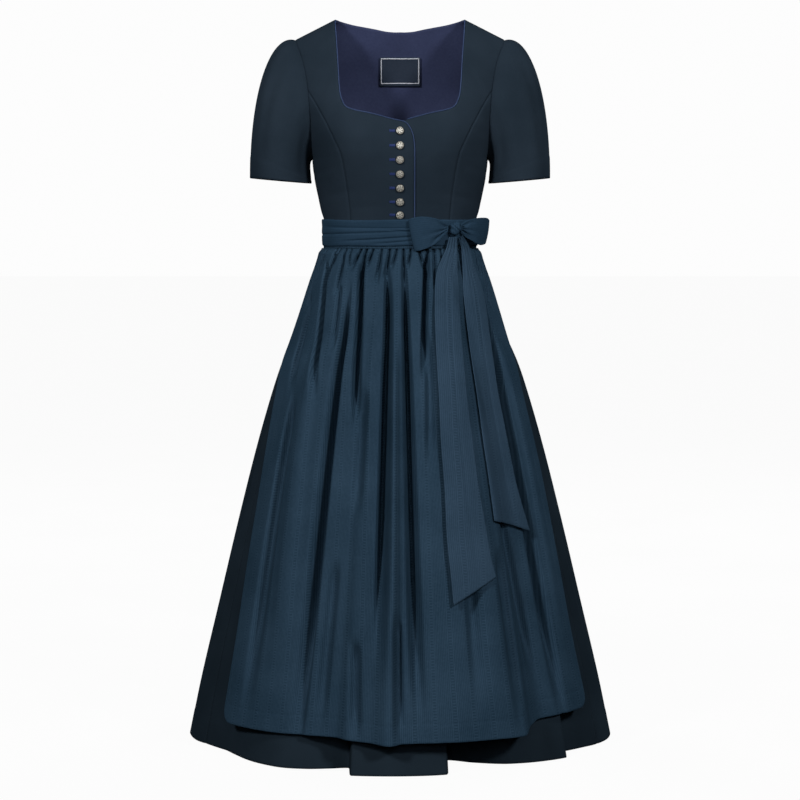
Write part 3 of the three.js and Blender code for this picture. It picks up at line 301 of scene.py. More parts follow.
# The apron's long folds, each a trough, or a ridge where deep is negative: angles and heights
# of its ends, depth in mm and width in degrees. lean makes it wider on the wearer's left, bend
# says how soon it comes to its bottom angle.
APRON_FOLDS = table("top bottom top_z bottom_z deep wide lean bend", [
    (-66, -54, -470, -640, 12.2, 2.5, 0, 0.5),
    (-56, -38, -412, -650, 27, 1.6, 0.35, 0.1),
    (-38.5, -34, -452, -570, 9.1, 1.4, 0, 0.5),
    (-32, -25.6, -440, -1250, 34.5, 1.8, -0.45, 6),
    (-27.5, -16.5, -404, -720, 25.2, 1.6, 0.3, 0.6),
    (-14.5, -14, -620, -850, 9.1, 1.7, 0, 0.5),
    (-9.8, -6, -404, -1090, 30, 1.8, 0.5, 6),
    (3, 5, -404, -1230, 30, 1.5, 0, -2),
    (19, 9.5, -398, -620, 25.1, 1.3, 0, 1),
    (14, 10, -520, -780, 10.2, 1.6, 0, 0.5),
    (62, 48.4, -446, -1220, 29, 1.8, -0.3, 9),
    (31, 31, -880, -1200, 13.8, 1.9, 0, 0.5),
    (36, 39.5, -830, -1120, 12.8, 1.7, 0, 0.5),
    (-51, -44, -620, -1200, 13.9, 2.2, 0.3, 0.5),
    (-12, -10.5, -1030, -1200, 12.7, 1.3, 0, 0.5),
    (-0.6, -0.2, -980, -1200, 14.9, 1, 0, 0.5),
    (-20, -20.5, -900, -1200, 10.2, 1.5, 0, 0.5),
    (22, 19, -640, -1180, 11.4, 1.7, 0, 0.5),
    (-44, -34, -520, -1150, -6.2, 3.6, 0, 0.5),
    (-2.6, -2.2, -520, -1200, -7.8, 1.9, 0, 0.5),
    (27, 25, -700, -1200, -5.4, 3.4, 0, 0.5),
    (57, 54.5, -480, -1150, -5.4, 2.8, 0, 0.5),
])

# The skirt's gathers where no apron covers them, by angle; lean and wide in degrees.
SKIRT_SLITS = table("at lean length deep wide", [
    (-84, 1, 60, 3, 1.1), (-89, 1.4, 150, 4.5, 1.4), (-94.5, 1, 74, 3.9, 1.2),
    (-99, 1.6, 210, 5.7, 1.4), (-104, 0.8, 58, 3.9, 1.1), (-108.6, 1.5, 130, 5.1, 1.4),
    (-114, 0.6, 90, 4.2, 1.2), (-119.5, 1.2, 240, 5.8, 1.5), (-124.4, 0.4, 66, 4.2, 1.1),
    (-129, 1, 160, 5.4, 1.4), (-134.5, -0.5, 84, 4.2, 1.2), (-139, 0.8, 52, 3.9, 1.1),
    (-143.6, 0.6, 260, 6.3, 1.5), (-149, -0.8, 76, 4.5, 1.2), (-153.5, 0.4, 140, 5.4, 1.4),
    (-158.6, 0.9, 62, 4.2, 1.1), (-163, -0.6, 200, 5.8, 1.4), (-168.4, 0.3, 90, 4.5, 1.2),
    (-173, 0.6, 150, 5.4, 1.4), (-178, -0.4, 70, 4.2, 1.2), (177, 0.5, 230, 6.1, 1.5),
    (172, -0.6, 64, 4.2, 1.1), (167.4, -0.4, 120, 5.1, 1.3), (162, 0.8, 82, 4.5, 1.2),
    (157.5, -0.8, 190, 5.7, 1.4), (152.3, 0.4, 56, 3.9, 1.1), (148, -0.6, 150, 5.4, 1.4),
    (143, -1, 76, 4.2, 1.2), (138.2, 0.5, 240, 6, 1.5), (133, -0.8, 68, 4.2, 1.1),
    (128.6, -1.2, 110, 5.1, 1.3), (123.6, -0.4, 180, 5.4, 1.4), (118.4, -1, 60, 3.9, 1.1),
    (113.5, -1.4, 140, 5.1, 1.4), (108.4, -0.8, 86, 4.2, 1.2), (103.5, -1.6, 220, 5.7, 1.4),
    (98.6, -1, 64, 3.9, 1.1), (93.8, -1.4, 120, 4.5, 1.3), (88.6, -1, 70, 3.6, 1.2),
    (84.4, -0.8, 50, 3, 1.1),
])
SKIRT_SWELLS = table("top bottom top_z bottom_z deep wide lean bend", [
    (-150, -156, -430, -1100, 11.2, 2.7, 0, 0.5), (-128, -121, -440, -980, 9.6, 2.7, 0, 0.5),
    (-104, -98, -450, -1050, 8, 2.7, 0, 0.5), (-169, -172, -470, -1160, 9.6, 2.7, 0, 0.5),
    (-140, -137, -560, -1200, -9.6, 3.1, 0, 0.5), (-112, -109, -600, -1220, -6.4, 3.1, 0, 0.5),
    (-84, -78, -520, -1180, 6.4, 2.7, 0, 0.5), (171, 175, -430, -1080, 11.2, 2.7, 0, 0.5),
    (152, 148, -450, -1120, 11.2, 2.7, 0, 0.5), (130, 123, -440, -1000, 9.6, 2.7, 0, 0.5),
    (107, 101, -470, -1100, 8, 2.7, 0, 0.5), (160, 163, -600, -1210, -9.6, 3.1, 0, 0.5),
    (140, 141, -540, -1180, -8, 3.1, 0, 0.5), (116, 114, -620, -1220, -6.4, 3.1, 0, 0.5),
    (84, 79, -520, -1160, 6.4, 2.7, 0, 0.5),
])
# The skirt lies deeper where the apron covers it, between these angles and heights.
UNDER_APRON = {"sink": 21, "from": 45, "to": 58, "top": -389, "rise": 8, "low": -1060, "hem": -1165}

# Soft creases of the tie, by angle round the waist and height at both ends.
TIE_CREASES = table("start end start_z end_z deep wide", [
    (-112, 16, -370.5, -363, 1.7, 1.5),
    (-76, 20, -355.5, -358, 1.2, 1.7),
    (-50, 26, -381, -369, 2.1, 1.5),
    (-24, 26, -385.5, -374.5, 1.6, 1.2),
    (-14, 26, -360, -365, 1.3, 1.2),
    (56, 152, -362, -370, 1.7, 1.5),
    (60, 124, -357, -352, 1.3, 1.4),
    (56, 136, -371, -380, 1.7, 1.4),
    (132, 262, -368, -361, 1.5, 1.6),
    (168, 254, -379, -373, 1.5, 1.5),
    (146, 228, -355, -357, 1.2, 1.6),
    (-150, -84, -377, -371, 1.3, 1.5),
])

# ---- Curves and surfaces --------------------------------------------------------------------


def read(tab, key, column, at):
    """A smooth curve through one column of a table, kept from overshooting between rows."""
    x, y = tab[key], tab[column]
    if x[0] > x[-1]:
        x, y = x[::-1], y[::-1]
    rise = np.diff(y) / np.diff(x)
    product = rise[:-1] * rise[1:]
    total = np.where(product > 0, rise[:-1] + rise[1:], 1)
    slope = np.concatenate([rise[:1], np.where(product > 0, 2 * product / total, 0), rise[-1:]])
    at = np.clip(np.asarray(at, float), x[0], x[-1])
    i = np.clip(np.searchsorted(x, at, side="right") - 1, 0, len(x) - 2)
    span = x[i + 1] - x[i]
    t = (at - x[i]) / span
    start = (2 * t**3 - 3 * t**2 + 1) * y[i] + (t**3 - 2 * t**2 + t) * span * slope[i]
    end = (3 * t**2 - 2 * t**3) * y[i + 1] + (t**3 - t**2) * span * slope[i + 1]
    return start + end


def lerp(a, b, t):
    return a + (b - a) * t


def halved(low, high, beyond):
    """The highest place between low and high that isn't beyond, for a whole array at once."""
    for _ in range(40):
        middle = (low + high) / 2
        past = beyond(middle)
        high, low = np.where(past, middle, high), np.where(past, low, middle)
    return low


def smooth_step(start, end, at):
    t = np.clip((at - start) / (end - start), 0, 1)
    return t * t * (3 - 2 * t)


def bump(distance, width):
    return np.exp(-((distance / width) ** 2))


def stack(x, y, z):
    return np.stack(np.broadcast_arrays(x, y, z), axis=-1).astype(float)


def unit(vectors):
    size = np.linalg.norm(vectors, axis=-1, keepdims=True)
    return vectors / np.maximum(size, 1e-9)


def refine(stops, parts):
    """Each stretch between two stops cut into equal parts: one number of them, or one for each."""
    stops = np.asarray(stops, float)
    parts = np.broadcast_to(parts, len(stops) - 1)
    steps = [np.linspace(a, b, n, endpoint=False) for a, b, n in zip(stops[:-1], stops[1:], parts)]
    return np.concatenate(steps + [stops[-1:]])


def crowd(count, pull=0.7):
    """Shares from 0 to 1 that crowd together at both ends."""
    t = np.linspace(0, 1, count)
    return t - pull * np.sin(2 * np.pi * t) / (2 * np.pi)


def oval_unit(angle, power):
    s, c = np.sin(angle), np.cos(angle)
    reach = (np.abs(s) ** power + np.abs(c) ** power) ** (1 / power)
    return s / reach, c / reach


def bodice(column, level):
    return read(BODICE_LEVELS, "level", column, level)


def bodice_point(face, share, level):
    """A point of the bodice. face is 1 in front and -1 behind, share runs from -1 to 1 across."""
    face = np.where(level > 0, -face, face)
    level = -np.abs(level)
    half = bodice("half", level)
    wrap = np.radians(bodice("wrap", level))
    edge_x, edge_y = oval_unit(wrap, BODICE_POWER)
    here_x, here_y = oval_unit(share * wrap, BODICE_POWER)
    x = half * here_x / edge_x
    centre = np.where(face > 0, bodice("front", level), bodice("back", level))
    arm = np.where(face > 0, bodice("front_arm", level), bodice("back_arm", level))
    depth = lerp(centre, arm, (1 - here_y) / (1 - edge_y))
    tilt = (bodice("side", level) - level) / (half - NECK_HALF_WIDTH)
    z = level + tilt * (np.hypot(x, BACK_ROUNDING) - NECK_HALF_WIDTH)
    swell = bump(np.abs(x) - BUST["x"], BUST["half_width"])
    swell = swell * bump(z - BUST["z"], BUST["half_height"])
    return stack(x, -face * (depth + np.where(face > 0, BUST["rise"] * swell, 0)), z)


def bodice_normal(face, share, level):
    along = bodice_point(face, share + 0.01, level) - bodice_point(face, share - 0.01, level)
    up = bodice_point(face, share, level + 0.6) - bodice_point(face, share, level - 0.6)
    return unit(np.cross(along, up)) * np.asarray(face, float)[..., None]


def share_at_x(level, x):
    """Share of the way from the centre line to the armhole edge at which x is reached."""
    wrap = np.radians(bodice("wrap", level))
    edge_x, _ = oval_unit(wrap, BODICE_POWER)
    across = np.minimum(edge_x * np.abs(x) / bodice("half", level), 1)
    ahead = (1 - across**BODICE_POWER) ** (1 / BODICE_POWER)
    return np.sign(x) * np.arctan2(across, ahead) / wrap


def seam_share(seam, side, level):
    inside = side * share_at_x(level, read(seam, "level", "x", level))
    return np.where(level > seam["level"][0], side, inside)


def underlap_sink(x, level):
    beside = 1 - smooth_step(UNDERLAP["from_x"], UNDERLAP["to_x"], x)
    below = 1 - smooth_step(UNDERLAP["to_level"], UNDERLAP["from_level"], level)
    return UNDERLAP["depth"] * beside * below


def oval_point(degrees, z, out):
    """A point of the plain oval skirt at an angle from the centre front, moved out of it."""
    angle = np.radians(degrees)
    half = read(SKIRT_LEVELS, "z", "half", z)
    ahead_of = read(SKIRT_LEVELS, "z", "front", z)
    depth = np.where(np.cos(angle) >= 0, ahead_of, read(SKIRT_LEVELS, "z", "back", z))
    power = read(SKIRT_LEVELS, "z", "power", z)
    across, ahead = oval_unit(angle, power)
    nx = np.sign(across) * np.abs(across) ** (power - 1) / half
    ny = -np.sign(ahead) * np.abs(ahead) ** (power - 1) / depth
    size = np.hypot(nx, ny)
    return stack(half * across + out * nx / size, -depth * ahead + out * ny / size, z)


def turned(degrees):
    """An angle brought to between -180 and 180."""
    return (degrees + 180) % 360 - 180


def slits(tab, degrees, z, top_z):
    """Depth of stitched gathers: narrow slits that open and then close on their way down."""
    depth = np.zeros(np.broadcast(degrees, z).shape)
    for at, lean, length, deep, wide in zip(*tab.values()):
        t = np.clip((top_z - z) / length, 0, 1)
        away = turned(degrees - at - lean * t**1.2)
        groove = np.exp(-np.abs(away / wide / (0.85 + 0.8 * t)) ** GATHER_STEEPNESS)
        depth += deep * (1 - t**3) * (0.95 + 0.4 * t) * groove
    return depth


def long_folds(tab, degrees, z):
    """Depth of long folds, which is negative on their ridges."""
    depth = np.zeros(np.broadcast(degrees, z).shape)
    for top, bottom, top_z, bottom_z, deep, wide, lean, bend in zip(*tab.values()):
        along = np.clip((top_z - z) / (top_z - bottom_z), 0, 1)
        still = (np.exp(-bend * along) - math.exp(-bend)) / (1 - math.exp(-bend))
        away = turned(degrees - lerp(bottom, top, still))
        width = wide * np.where(away > 0, 1 + lean, 1 - lean)
        strength = smooth_step(0, 0.16, along) * (1 - smooth_step(0.62, 1, along))
        depth += deep * strength * np.exp(-np.abs(away / width) ** FOLD_STEEPNESS)
    return depth


def below_waist(z):
    """0 at the waist seam and 1 a little way below it."""
    return smooth_step(UNDER_APRON["top"], UNDER_APRON["top"] - UNDER_APRON["rise"], z)


def skirt_out(degrees, z):
    """How far the skirt stands out of the plain oval, with its folds and gathers."""
    angle = turned(degrees)
    fold = read(SKIRT_FOLDS, "angle", "out", angle)
    drop = np.clip((SKIRT_FOLD_START_Z - z) / (SKIRT_FOLD_START_Z - HEM_Z), 0, 1)
    bare = smooth_step(SKIRT_BARE["from"], SKIRT_BARE["to"], np.abs(angle)) * below_waist(z)
    gathers = slits(SKIRT_SLITS, angle, z, SKIRT_SLIT_TOP_Z) + long_folds(SKIRT_SWELLS, angle, z)
    ended = smooth_step(SKIRT_PLUMP["full_z"], SKIRT_PLUMP["flat_z"], z)
    plump = SKIRT_PLUMP["out"] * (1 - ended)
    return fold * drop**SKIRT_FOLD_GROWTH + bare * (plump - gathers)


def under_apron_sink(degrees, z):
    low = smooth_step(UNDER_APRON["low"], UNDER_APRON["hem"], z)
    beside = smooth_step(UNDER_APRON["from"], UNDER_APRON["to"], np.abs(turned(degrees)))
    return UNDER_APRON["sink"] * below_waist(z) * (1 - low) * (1 - beside)


def apron_spread(degrees, z):
    drop = np.clip((APRON_TOP_Z - z) / (APRON_TOP_Z - APRON_HEM_Z), 0, 1)
    hem = read(APRON_HEM, "angle", "out", degrees)
    return lerp(read(APRON_STAND_OFF, "z", "out", z), hem, drop**APRON_SPREAD_GROWTH)


def apron_point(across, down):
    """across runs from -1 at the wearer's right edge to 1 at the left one, down from 0 to 1."""
    hem_edge = np.where(across < 0, APRON_EDGES["right"][-1], APRON_EDGES["left"][-1])
    from_edge = (1 - np.abs(across)) * hem_edge * APRON_CORNER["per_degree"]
    corner = np.clip(1 - from_edge / APRON_CORNER["radius"], 0, 1)
    rise = APRON_CORNER["radius"] * (1 - np.sqrt(1 - corner**2))
    z = lerp(APRON_TOP_Z, read(APRON_HEM, "angle", "z", across * hem_edge) + rise, down)
    right = read(APRON_EDGES, "z", "right", z)
    degrees = across * np.where(across < 0, right, read(APRON_EDGES, "z", "left", z))
    inner = 1 - smooth_step(APRON_PUFF["full"], APRON_PUFF["none"], np.abs(degrees))
    begun = smooth_step(APRON_TOP_Z, APRON_TOP_Z - APRON_PUFF["rise"], z)
    ended = smooth_step(APRON_PUFF["full_z"], APRON_PUFF["flat_z"], z)
    puff = (APRON_CREST + APRON_PUFF["out"] * inner) * begun * (1 - ended)
    gathers = slits(APRON_SLITS, across * APRON_EDGES["right"][0], z, APRON_TOP_Z)
    out = apron_spread(degrees, z) + puff - gathers - long_folds(APRON_FOLDS, degrees, z)
    skirt = skirt_out(degrees, z) - under_apron_sink(degrees, z)
    return oval_point(degrees, z, np.maximum(out, skirt + SKIRT_CLEARANCE))


def sleeve_point(side, turn, along):
    """turn runs once round the sleeve from the shoulder, the front first; along to the cuff."""
    angle = 2 * np.pi * turn
    high = (1 + np.cos(angle)) / 2
    level = ARMHOLE_MID_LEVEL * (1 - np.cos(angle))
    face = np.where(np.sin(angle) >= 0, 1, -1)
    start = bodice_point(face, side, level) + stack(side * -SLEEVE_INSIDE_ARMHOLE, 0, 0)
    leave = stack(
        side * lerp(SLEEVE_START_UNDER[0], SLEEVE_START_TOP[0], high),
        -SLEEVE_START_SWELL * np.sin(angle),
        lerp(SLEEVE_START_UNDER[1], SLEEVE_START_TOP[1], high),
    )
    cuff = stack(
        side * (CUFF["x"] + CUFF["half_width"] * np.cos(angle)),
        -CUFF["half_depth"] * np.sin(angle),
        lerp(CUFF["inner_z"], CUFF["outer_z"], high),
    )
    above = cuff + stack(0, 0, lerp(SLEEVE_DROP_UNDER, SLEEVE_DROP_TOP, high))
    t = np.asarray(along)[..., None]
    near = (1 - t) ** 3 * start + 3 * (1 - t) ** 2 * t * (start + leave)
    return near + 3 * (1 - t) * t**2 * above + t**3 * cuff


def station_curve(points, at):
    """A centripetal Catmull-Rom curve through points, read at shares from 0 to 1."""
    points = np.asarray(points, float)
    first = 2 * points[0] - points[1]
    last = 2 * points[-1] - points[-2]
    padded = np.vstack([first, points, last])
    place = np.clip(at, 0, 1) * (len(points) - 1)
    i = np.minimum(place.astype(int), len(points) - 2)
    w = (place - i)[:, None]
    p0, p1, p2, p3 = (padded[i + k] for k in range(4))
    d0, d1, d2 = (
        np.maximum(np.sqrt(np.linalg.norm(b - a, axis=1)), 1e-6)[:, None]
        for a, b in ((p0, p1), (p1, p2), (p2, p3))
    )
    leave = ((p1 - p0) / d0 - (p2 - p0) / (d0 + d1) + (p2 - p1) / d1) * d1
    arrive = ((p2 - p1) / d1 - (p3 - p1) / (d1 + d2) + (p3 - p2) / d2) * d1
    start = (2 * w**3 - 3 * w**2 + 1) * p1 + (w**3 - 2 * w**2 + w) * leave
    return start + (3 * w**2 - 2 * w**3) * p2 + (w**3 - w**2) * arrive

# ---- Meshes ---------------------------------------------------------------------------------


def link(name, data):
    """A new object in the scene, for a mesh, a lamp or a camera."""
    thing = bpy.data.objects.new(name, data)
    bpy.context.scene.collection.objects.link(thing)
    return thing


def mesh_object(name, points, faces, uvs=None, face_uvs=None):
    """A mesh of points in mm. Faces turn over together where the solid is inside out."""
    a, b, c, d = (points[faces[:, k]] for k in range(4))
    volume = np.einsum("ij,ij->", a, np.cross(b, c)) + np.einsum("ij,ij->", a, np.cross(c, d))
    if volume < 0:
        faces = faces[:, ::-1]
        face_uvs = None if face_uvs is None else face_uvs[:, ::-1]
    mesh = bpy.data.meshes.new(name)
    mesh.from_pydata((points * MM).tolist(), [], faces.tolist())
    if uvs is not None:
        layer = mesh.uv_layers.new(name="cloth")
        layer.data.foreach_set("uv", (uvs[face_uvs.ravel()] * MM).ravel())
    mesh.shade_smooth()
    return link(name, mesh)


def grid_normals(grid, closed, middle):
    if closed:
        along = np.roll(grid, -1, 1) - np.roll(grid, 1, 1)
    else:
        along = np.gradient(grid, axis=1)
    normals = unit(np.cross(along, np.gradient(grid, axis=0)))
    return normals if (normals * (grid - middle)).sum() > 0 else -normals


def middle_of(grid, centre):
    """What the outside faces away from: the upright axis, each row's middle, or one point."""
    if centre == "axis":
        return grid * np.array([0, 0, 1])
    if centre == "row":
        return grid.mean(axis=1, keepdims=True)
    return grid.mean(axis=(0, 1), keepdims=True)


def shell(name, grid, wall, uv, centre="axis", closed=False):
    """A cloth wall: the outer grid, an inner one under it, and a rounded rim between them.
    uv holds the cloth's own coordinates in mm, with one column more where it is closed."""
    rows, columns = grid.shape[:2]
    normals = grid_normals(grid, closed, middle_of(grid, centre))
    inner = grid - wall * normals
    ids = np.arange(rows * columns).reshape(rows, columns)
    uv_ids = np.arange(rows * (columns + closed)).reshape(rows, -1)
    if closed:
        ids = np.hstack([ids, ids[:, :1]])
    count = rows * columns

    def quads(index):
        corners = (index[:-1, :-1], index[1:, :-1], index[1:, 1:], index[:-1, 1:])
        return np.stack([corner.ravel() for corner in corners], axis=1)

    faces = [quads(ids), quads(ids)[:, ::-1] + count]
    face_uvs = [quads(uv_ids), quads(uv_ids)[:, ::-1]]
    if closed:
        rims = [np.s_[0, ::-1], np.s_[-1, :]]
        loops = [(ids[r], uv_ids[r]) for r in rims]
    else:
        loops = [tuple(edge_loop(index) for index in (ids, uv_ids))]
    outer_points, inner_points = grid.reshape(-1, 3), inner.reshape(-1, 3)
    middle = (outer_points + inner_points) / 2
    total = 2 * count
    points = [outer_points, inner_points]
    outward = rim_directions(grid, closed).reshape(-1, 3)
    for loop, uv_loop in loops:
        rim = loop[:-1]
        points.append(middle[rim] + outward[rim] * wall * 0.4)
        here = total + np.arange(len(rim))
        there = np.roll(here, -1)
        after = np.roll(rim, -1)
        faces.append(np.stack([after, rim, here, there], axis=1))
        faces.append(np.stack([there, here, rim + count, after + count], axis=1))
        a, b = uv_loop[:-1], uv_loop[1:]
        face_uvs += [np.stack([b, a, a, b], axis=1)] * 2
        total += len(rim)
    uvs = uv.reshape(-1, 2)
    return mesh_object(name, np.vstack(points), np.vstack(faces), uvs, np.vstack(face_uvs))


def edge_loop(index):
    """Once round the border of a grid of numbers, back to where it began."""
    down, along = index[:-1, 0], index[-1, :-1]
    up, back = index[:0:-1, -1], index[0, ::-1]
    return np.concatenate([down, along, up, back])


def rim_directions(grid, closed):
    """For each point of a grid, the way off the cloth at the border it lies on."""
    away = np.zeros_like(grid)
    away[0] += grid[0] - grid[1]
    away[-1] += grid[-1] - grid[-2]
    if not closed:
        away[:, 0] += grid[:, 0] - grid[:, 1]
        away[:, -1] += grid[:, -1] - grid[:, -2]
    return unit(away)


def barrel(rings):
    """Points and quads of rings of points, one after the other, closed at both ends."""
    count, sides = rings.shape[:2]
    ids = np.arange(count * sides).reshape(count, sides)
    after = np.roll(ids, -1, axis=1)
    around = np.stack([ids[:-1], after[:-1], after[1:], ids[1:]], axis=-1).reshape(-1, 4)
    k = np.arange(sides // 2 - 1)
    cap = np.stack([k, k + 1, sides - k - 2, sides - k - 1], axis=1)
    return rings.reshape(-1, 3), np.vstack([around, ids[0][cap[:, ::-1]], ids[-1][cap]])


def solid(name, points, faces):
    """A closed mesh whose cloth coordinates are its places across and up."""
    return mesh_object(name, points, faces, points[:, [0, 2]], faces)


def joined(parts):
    """Points and quads of several such pairs as one pair."""
    starts = np.cumsum([0] + [len(points) for points, _ in parts])
    faces = [faces + start for (_, faces), start in zip(parts, starts)]
    return np.vstack([points for points, _ in parts]), np.vstack(faces)


def ball(centre, axes, rings=6, sides=8):
    """Points and quads of a stretched ball; axes are its three half axes as vectors."""
    tilt = np.linspace(-0.46 * np.pi, 0.46 * np.pi, rings)[:, None, None]
    turn = np.linspace(0, 2 * np.pi, sides, endpoint=False)[None, :, None]
    beside = np.cos(tilt) * (np.cos(turn) * axes[0] + np.sin(turn) * axes[1])
    return barrel(centre + beside + np.sin(tilt) * axes[2])

# ---- Materials ------------------------------------------------------------------------------


def srgb(red, green, blue):
    """A colour given as it looks on a screen, from 0 to 255, in linear light."""
    shares = np.array([red, green, blue]) / 255
    low = shares / 12.92
    high = ((shares + 0.055) / 1.055) ** 2.4
    return (*np.where(shares <= 0.04045, low, high).tolist(), 1.0)


class Shader:
    """A material with one Principled shader and short ways to add nodes to it."""

    def __init__(self, name, **values):
        self.material = bpy.data.materials.new(name)
        self.material.use_nodes = True
        self.tree = self.material.node_tree
        self.main = self.tree.nodes["Principled BSDF"]
        for socket, value in values.items():
            self.main.inputs[socket.replace("_", " ")].default_value = value

    def add(self, kind, settings=None, **inputs):
        """A new node. An input is given by its name, or as _3 by its number."""
        node = self.tree.nodes.new("ShaderNode" + kind)
        for key, value in (settings or {}).items():
            setattr(node, key, value)
        for key, value in inputs.items():
            self.feed(node.inputs[int(key[1:]) if key[1:].isdigit() else key], value)
        return node

    def feed(self, socket, value):
        if isinstance(value, bpy.types.NodeSocket):
            self.tree.links.new(value, socket)
        else:
            socket.default_value = value

    def math(self, operation, first, second=0.0):
        return self.add("Math", {"operation": operation}, _0=first, _1=second).outputs[0]

    def blend(self, first, first_part, second, second_part):
        """A weighted sum of two values."""
        first = self.math("MULTIPLY", first, first_part)
        return self.math("ADD", first, self.math("MULTIPLY", second, second_part))

    def range(self, value, low, high, new_low=0.0, new_high=1.0):
        node = self.add("MapRange", None, _0=value, _1=low, _2=high, _3=new_low, _4=new_high)
        return node.outputs[0]

    def wave(self, place, period):
        """A wave that runs from 0 to 1 and back over each period."""
        angle = self.math("MULTIPLY", place, 2 * math.pi / period)
        return self.range(self.math("SINE", angle), -1.0, 1.0)

    def noise(self, scale, detail):
        place = self.add("TexCoord").outputs["Object"]
        return self.add("TexNoise", None, Vector=place, Scale=scale, Detail=detail).outputs[0]

    def mix(self, share, first, second):
        """Between two colours, given as they look on a screen."""
        colours = {"_6": srgb(*first), "_7": srgb(*second)}
        return self.add("Mix", {"data_type": "RGBA"}, _0=share, **colours).outputs[2]

    def cloth_place(self):
        """The cloth's own coordinates in metres, across and down."""
        place = self.add("UVMap", {"uv_map": "cloth"}).outputs[0]
        return self.add("SeparateXYZ", None, Vector=place).outputs[:2]

    def finish(self, colour, height, distance, strength=0.5):
        """Sets the colour and the fine relief, and returns the material."""
        self.feed(self.main.inputs["Base Color"], colour)
        bump_node = self.add("Bump", None, Strength=strength, Distance=distance, Height=height)
        self.feed(self.main.inputs["Normal"], bump_node.outputs[0])
        return self.material


def twill_material(name, dark, light):
    """Matt twill: fine slanted ribs, a soft nap and faint clouds of tone."""
    s = Shader(name, Roughness=0.85, Specular_IOR_Level=0.08)
    across, down = s.cloth_place()
    slant = s.wave(s.math("ADD", across, down), TWILL_PERIOD)
    thread, cloud = s.noise(900.0, 2.0), s.noise(9.0, 3.0)
    tone = s.range(s.blend(cloud, 0.7, thread, 0.3), 0.35, 0.65)
    return s.finish(s.mix(tone, dark, light), s.blend(slant, 1.0, thread, 0.8), 0.00006)


def plain_weave_material(name, dark, light, roughness, period=0.0008):
    """Plain woven cotton: crossed threads with slubs."""
    s = Shader(name, Roughness=roughness, Specular_IOR_Level=0.15)
    across, down = s.cloth_place()
    weave = s.math("MULTIPLY", s.wave(across, period), s.wave(down, period))
    slub, cloud = s.noise(260.0, 3.0), s.noise(14.0, 2.0)
    tone = s.range(s.blend(cloud, 0.6, slub, 0.4), 0.35, 0.65)
    return s.finish(s.mix(tone, dark, light), s.blend(weave, 1.0, slub, 0.7), 0.00004)


# Repeats of the weaves, in metres.
TWILL_PERIOD = 0.0011
RIB_PERIOD = 0.0034
LADDER_PERIOD = 0.036
LADDER_WIDTH = 0.006
RUNG_PERIOD = 0.0048


def jacquard_material(name, dark, light, patterned):
    """Satin-like cotton with fine lengthwise ribs and, where patterned, ladders of short rungs."""
    s = Shader(name, Specular_IOR_Level=0.16, Specular_Tint=srgb(150, 180, 220))
    across, down = s.cloth_place()
    slub, cloud = s.noise(300.0, 3.0), s.noise(11.0, 3.0)
    figure = s.math("MULTIPLY", s.wave(across, RIB_PERIOD), 0.35 if patterned else 0.2)
    if patterned:
        place = s.math("MODULO", s.math("ADD", across, 10.0), LADDER_PERIOD)
        middle = s.math("ABSOLUTE", s.math("SUBTRACT", place, LADDER_PERIOD / 2))
        off = s.math("DIVIDE", middle, LADDER_WIDTH)
        band = s.range(off, 0.45, 0.55, 1.0, 0.0)
        rung = s.math("MULTIPLY", band, s.range(s.wave(down, RUNG_PERIOD), 0.45, 0.62))
        rail = s.math("MULTIPLY", s.range(off, 0.6, 0.75), s.range(off, 0.8, 0.95, 1.0, 0.0))
        plain = s.math("MULTIPLY", figure, s.math("SUBTRACT", 1.0, band))
        figure = s.blend(plain, 1.0, s.blend(rung, 1.0, rail, 0.5), 0.34)
    tone = s.blend(s.blend(cloud, 0.35, slub, 0.25), 1.0, figure, 0.5)
    s.feed(s.main.inputs["Roughness"], s.range(figure, 0.0, 1.0, 0.62, 0.5))
    colour = s.mix(s.range(tone, 0.2, 0.7), dark, light)
    return s.finish(colour, s.blend(figure, 1.0, slub, 0.5), 0.0001)


def silver_material():
    """Antique silver: dark in its hollows, worn bright on what stands out."""
    s = Shader("antique_silver", Metallic=0.6)
    raised = s.add("Attribute", {"attribute_name": "raised"}).outputs["Fac"]
    grain = s.noise(700.0, 3.0)
    worn = s.blend(raised, 1.0, s.math("SUBTRACT", grain, 0.5), 0.35)
    share = s.range(worn, 0.15, 0.75)
    s.feed(s.main.inputs["Roughness"], s.range(share, 0.0, 1.0, 0.62, 0.34))
    return s.finish(s.mix(share, (52, 50, 46), (236, 233, 222)), grain, 0.00003, 0.4)


def floor_material():
    s = Shader("pale_floor", Roughness=0.9, Specular_IOR_Level=0.0, Emission_Strength=0.96)
    s.main.inputs["Emission Color"].default_value = (1, 1, 1, 1)
    tone = s.range(s.noise(3.0, 2.0), 0.3, 0.7)
    s.feed(s.main.inputs["Base Color"], s.mix(tone, (36, 36, 36), (44, 44, 44)))
    return s.material


DRESS = twill_material("dress_twill", (33, 45, 56), (43, 55, 67))
# The skirt's copy of the dress twill, a fifth darker than the bodice's: painted shade, for the
# apron's shade and the skirt's turned-away sides.
SKIRT_TWILL_PAINTED_SHADE = twill_material("skirt_twill_painted_shade", (26, 37, 46), (33, 45, 55))
LINING = plain_weave_material("lining_cotton", (56, 63, 94), (65, 73, 107), 0.8)
LABEL_CLOTH = plain_weave_material("label_weave", (46, 56, 72), (54, 64, 80), 0.7, 0.0006)
LABEL_THREAD = plain_weave_material("label_thread", (205, 209, 222), (230, 233, 243), 0.6, 0.0005)
PIPING = plain_weave_material("piping_cotton", (55, 72, 108), (68, 86, 124), 0.65, 0.0006)
BUTTONHOLE_THREAD = plain_weave_material(
    "buttonhole_thread", (44, 58, 108), (58, 74, 128), 0.5, 0.0005,
)
APRON = jacquard_material("apron_jacquard", (27, 47, 62), (57, 80, 100), True)
TIE = jacquard_material("tie_satin", (33, 53, 70), (50, 74, 95), False)
TAILS = jacquard_material("tail_jacquard", (38, 57, 73), (62, 84, 105), True)
SILVER = silver_material()


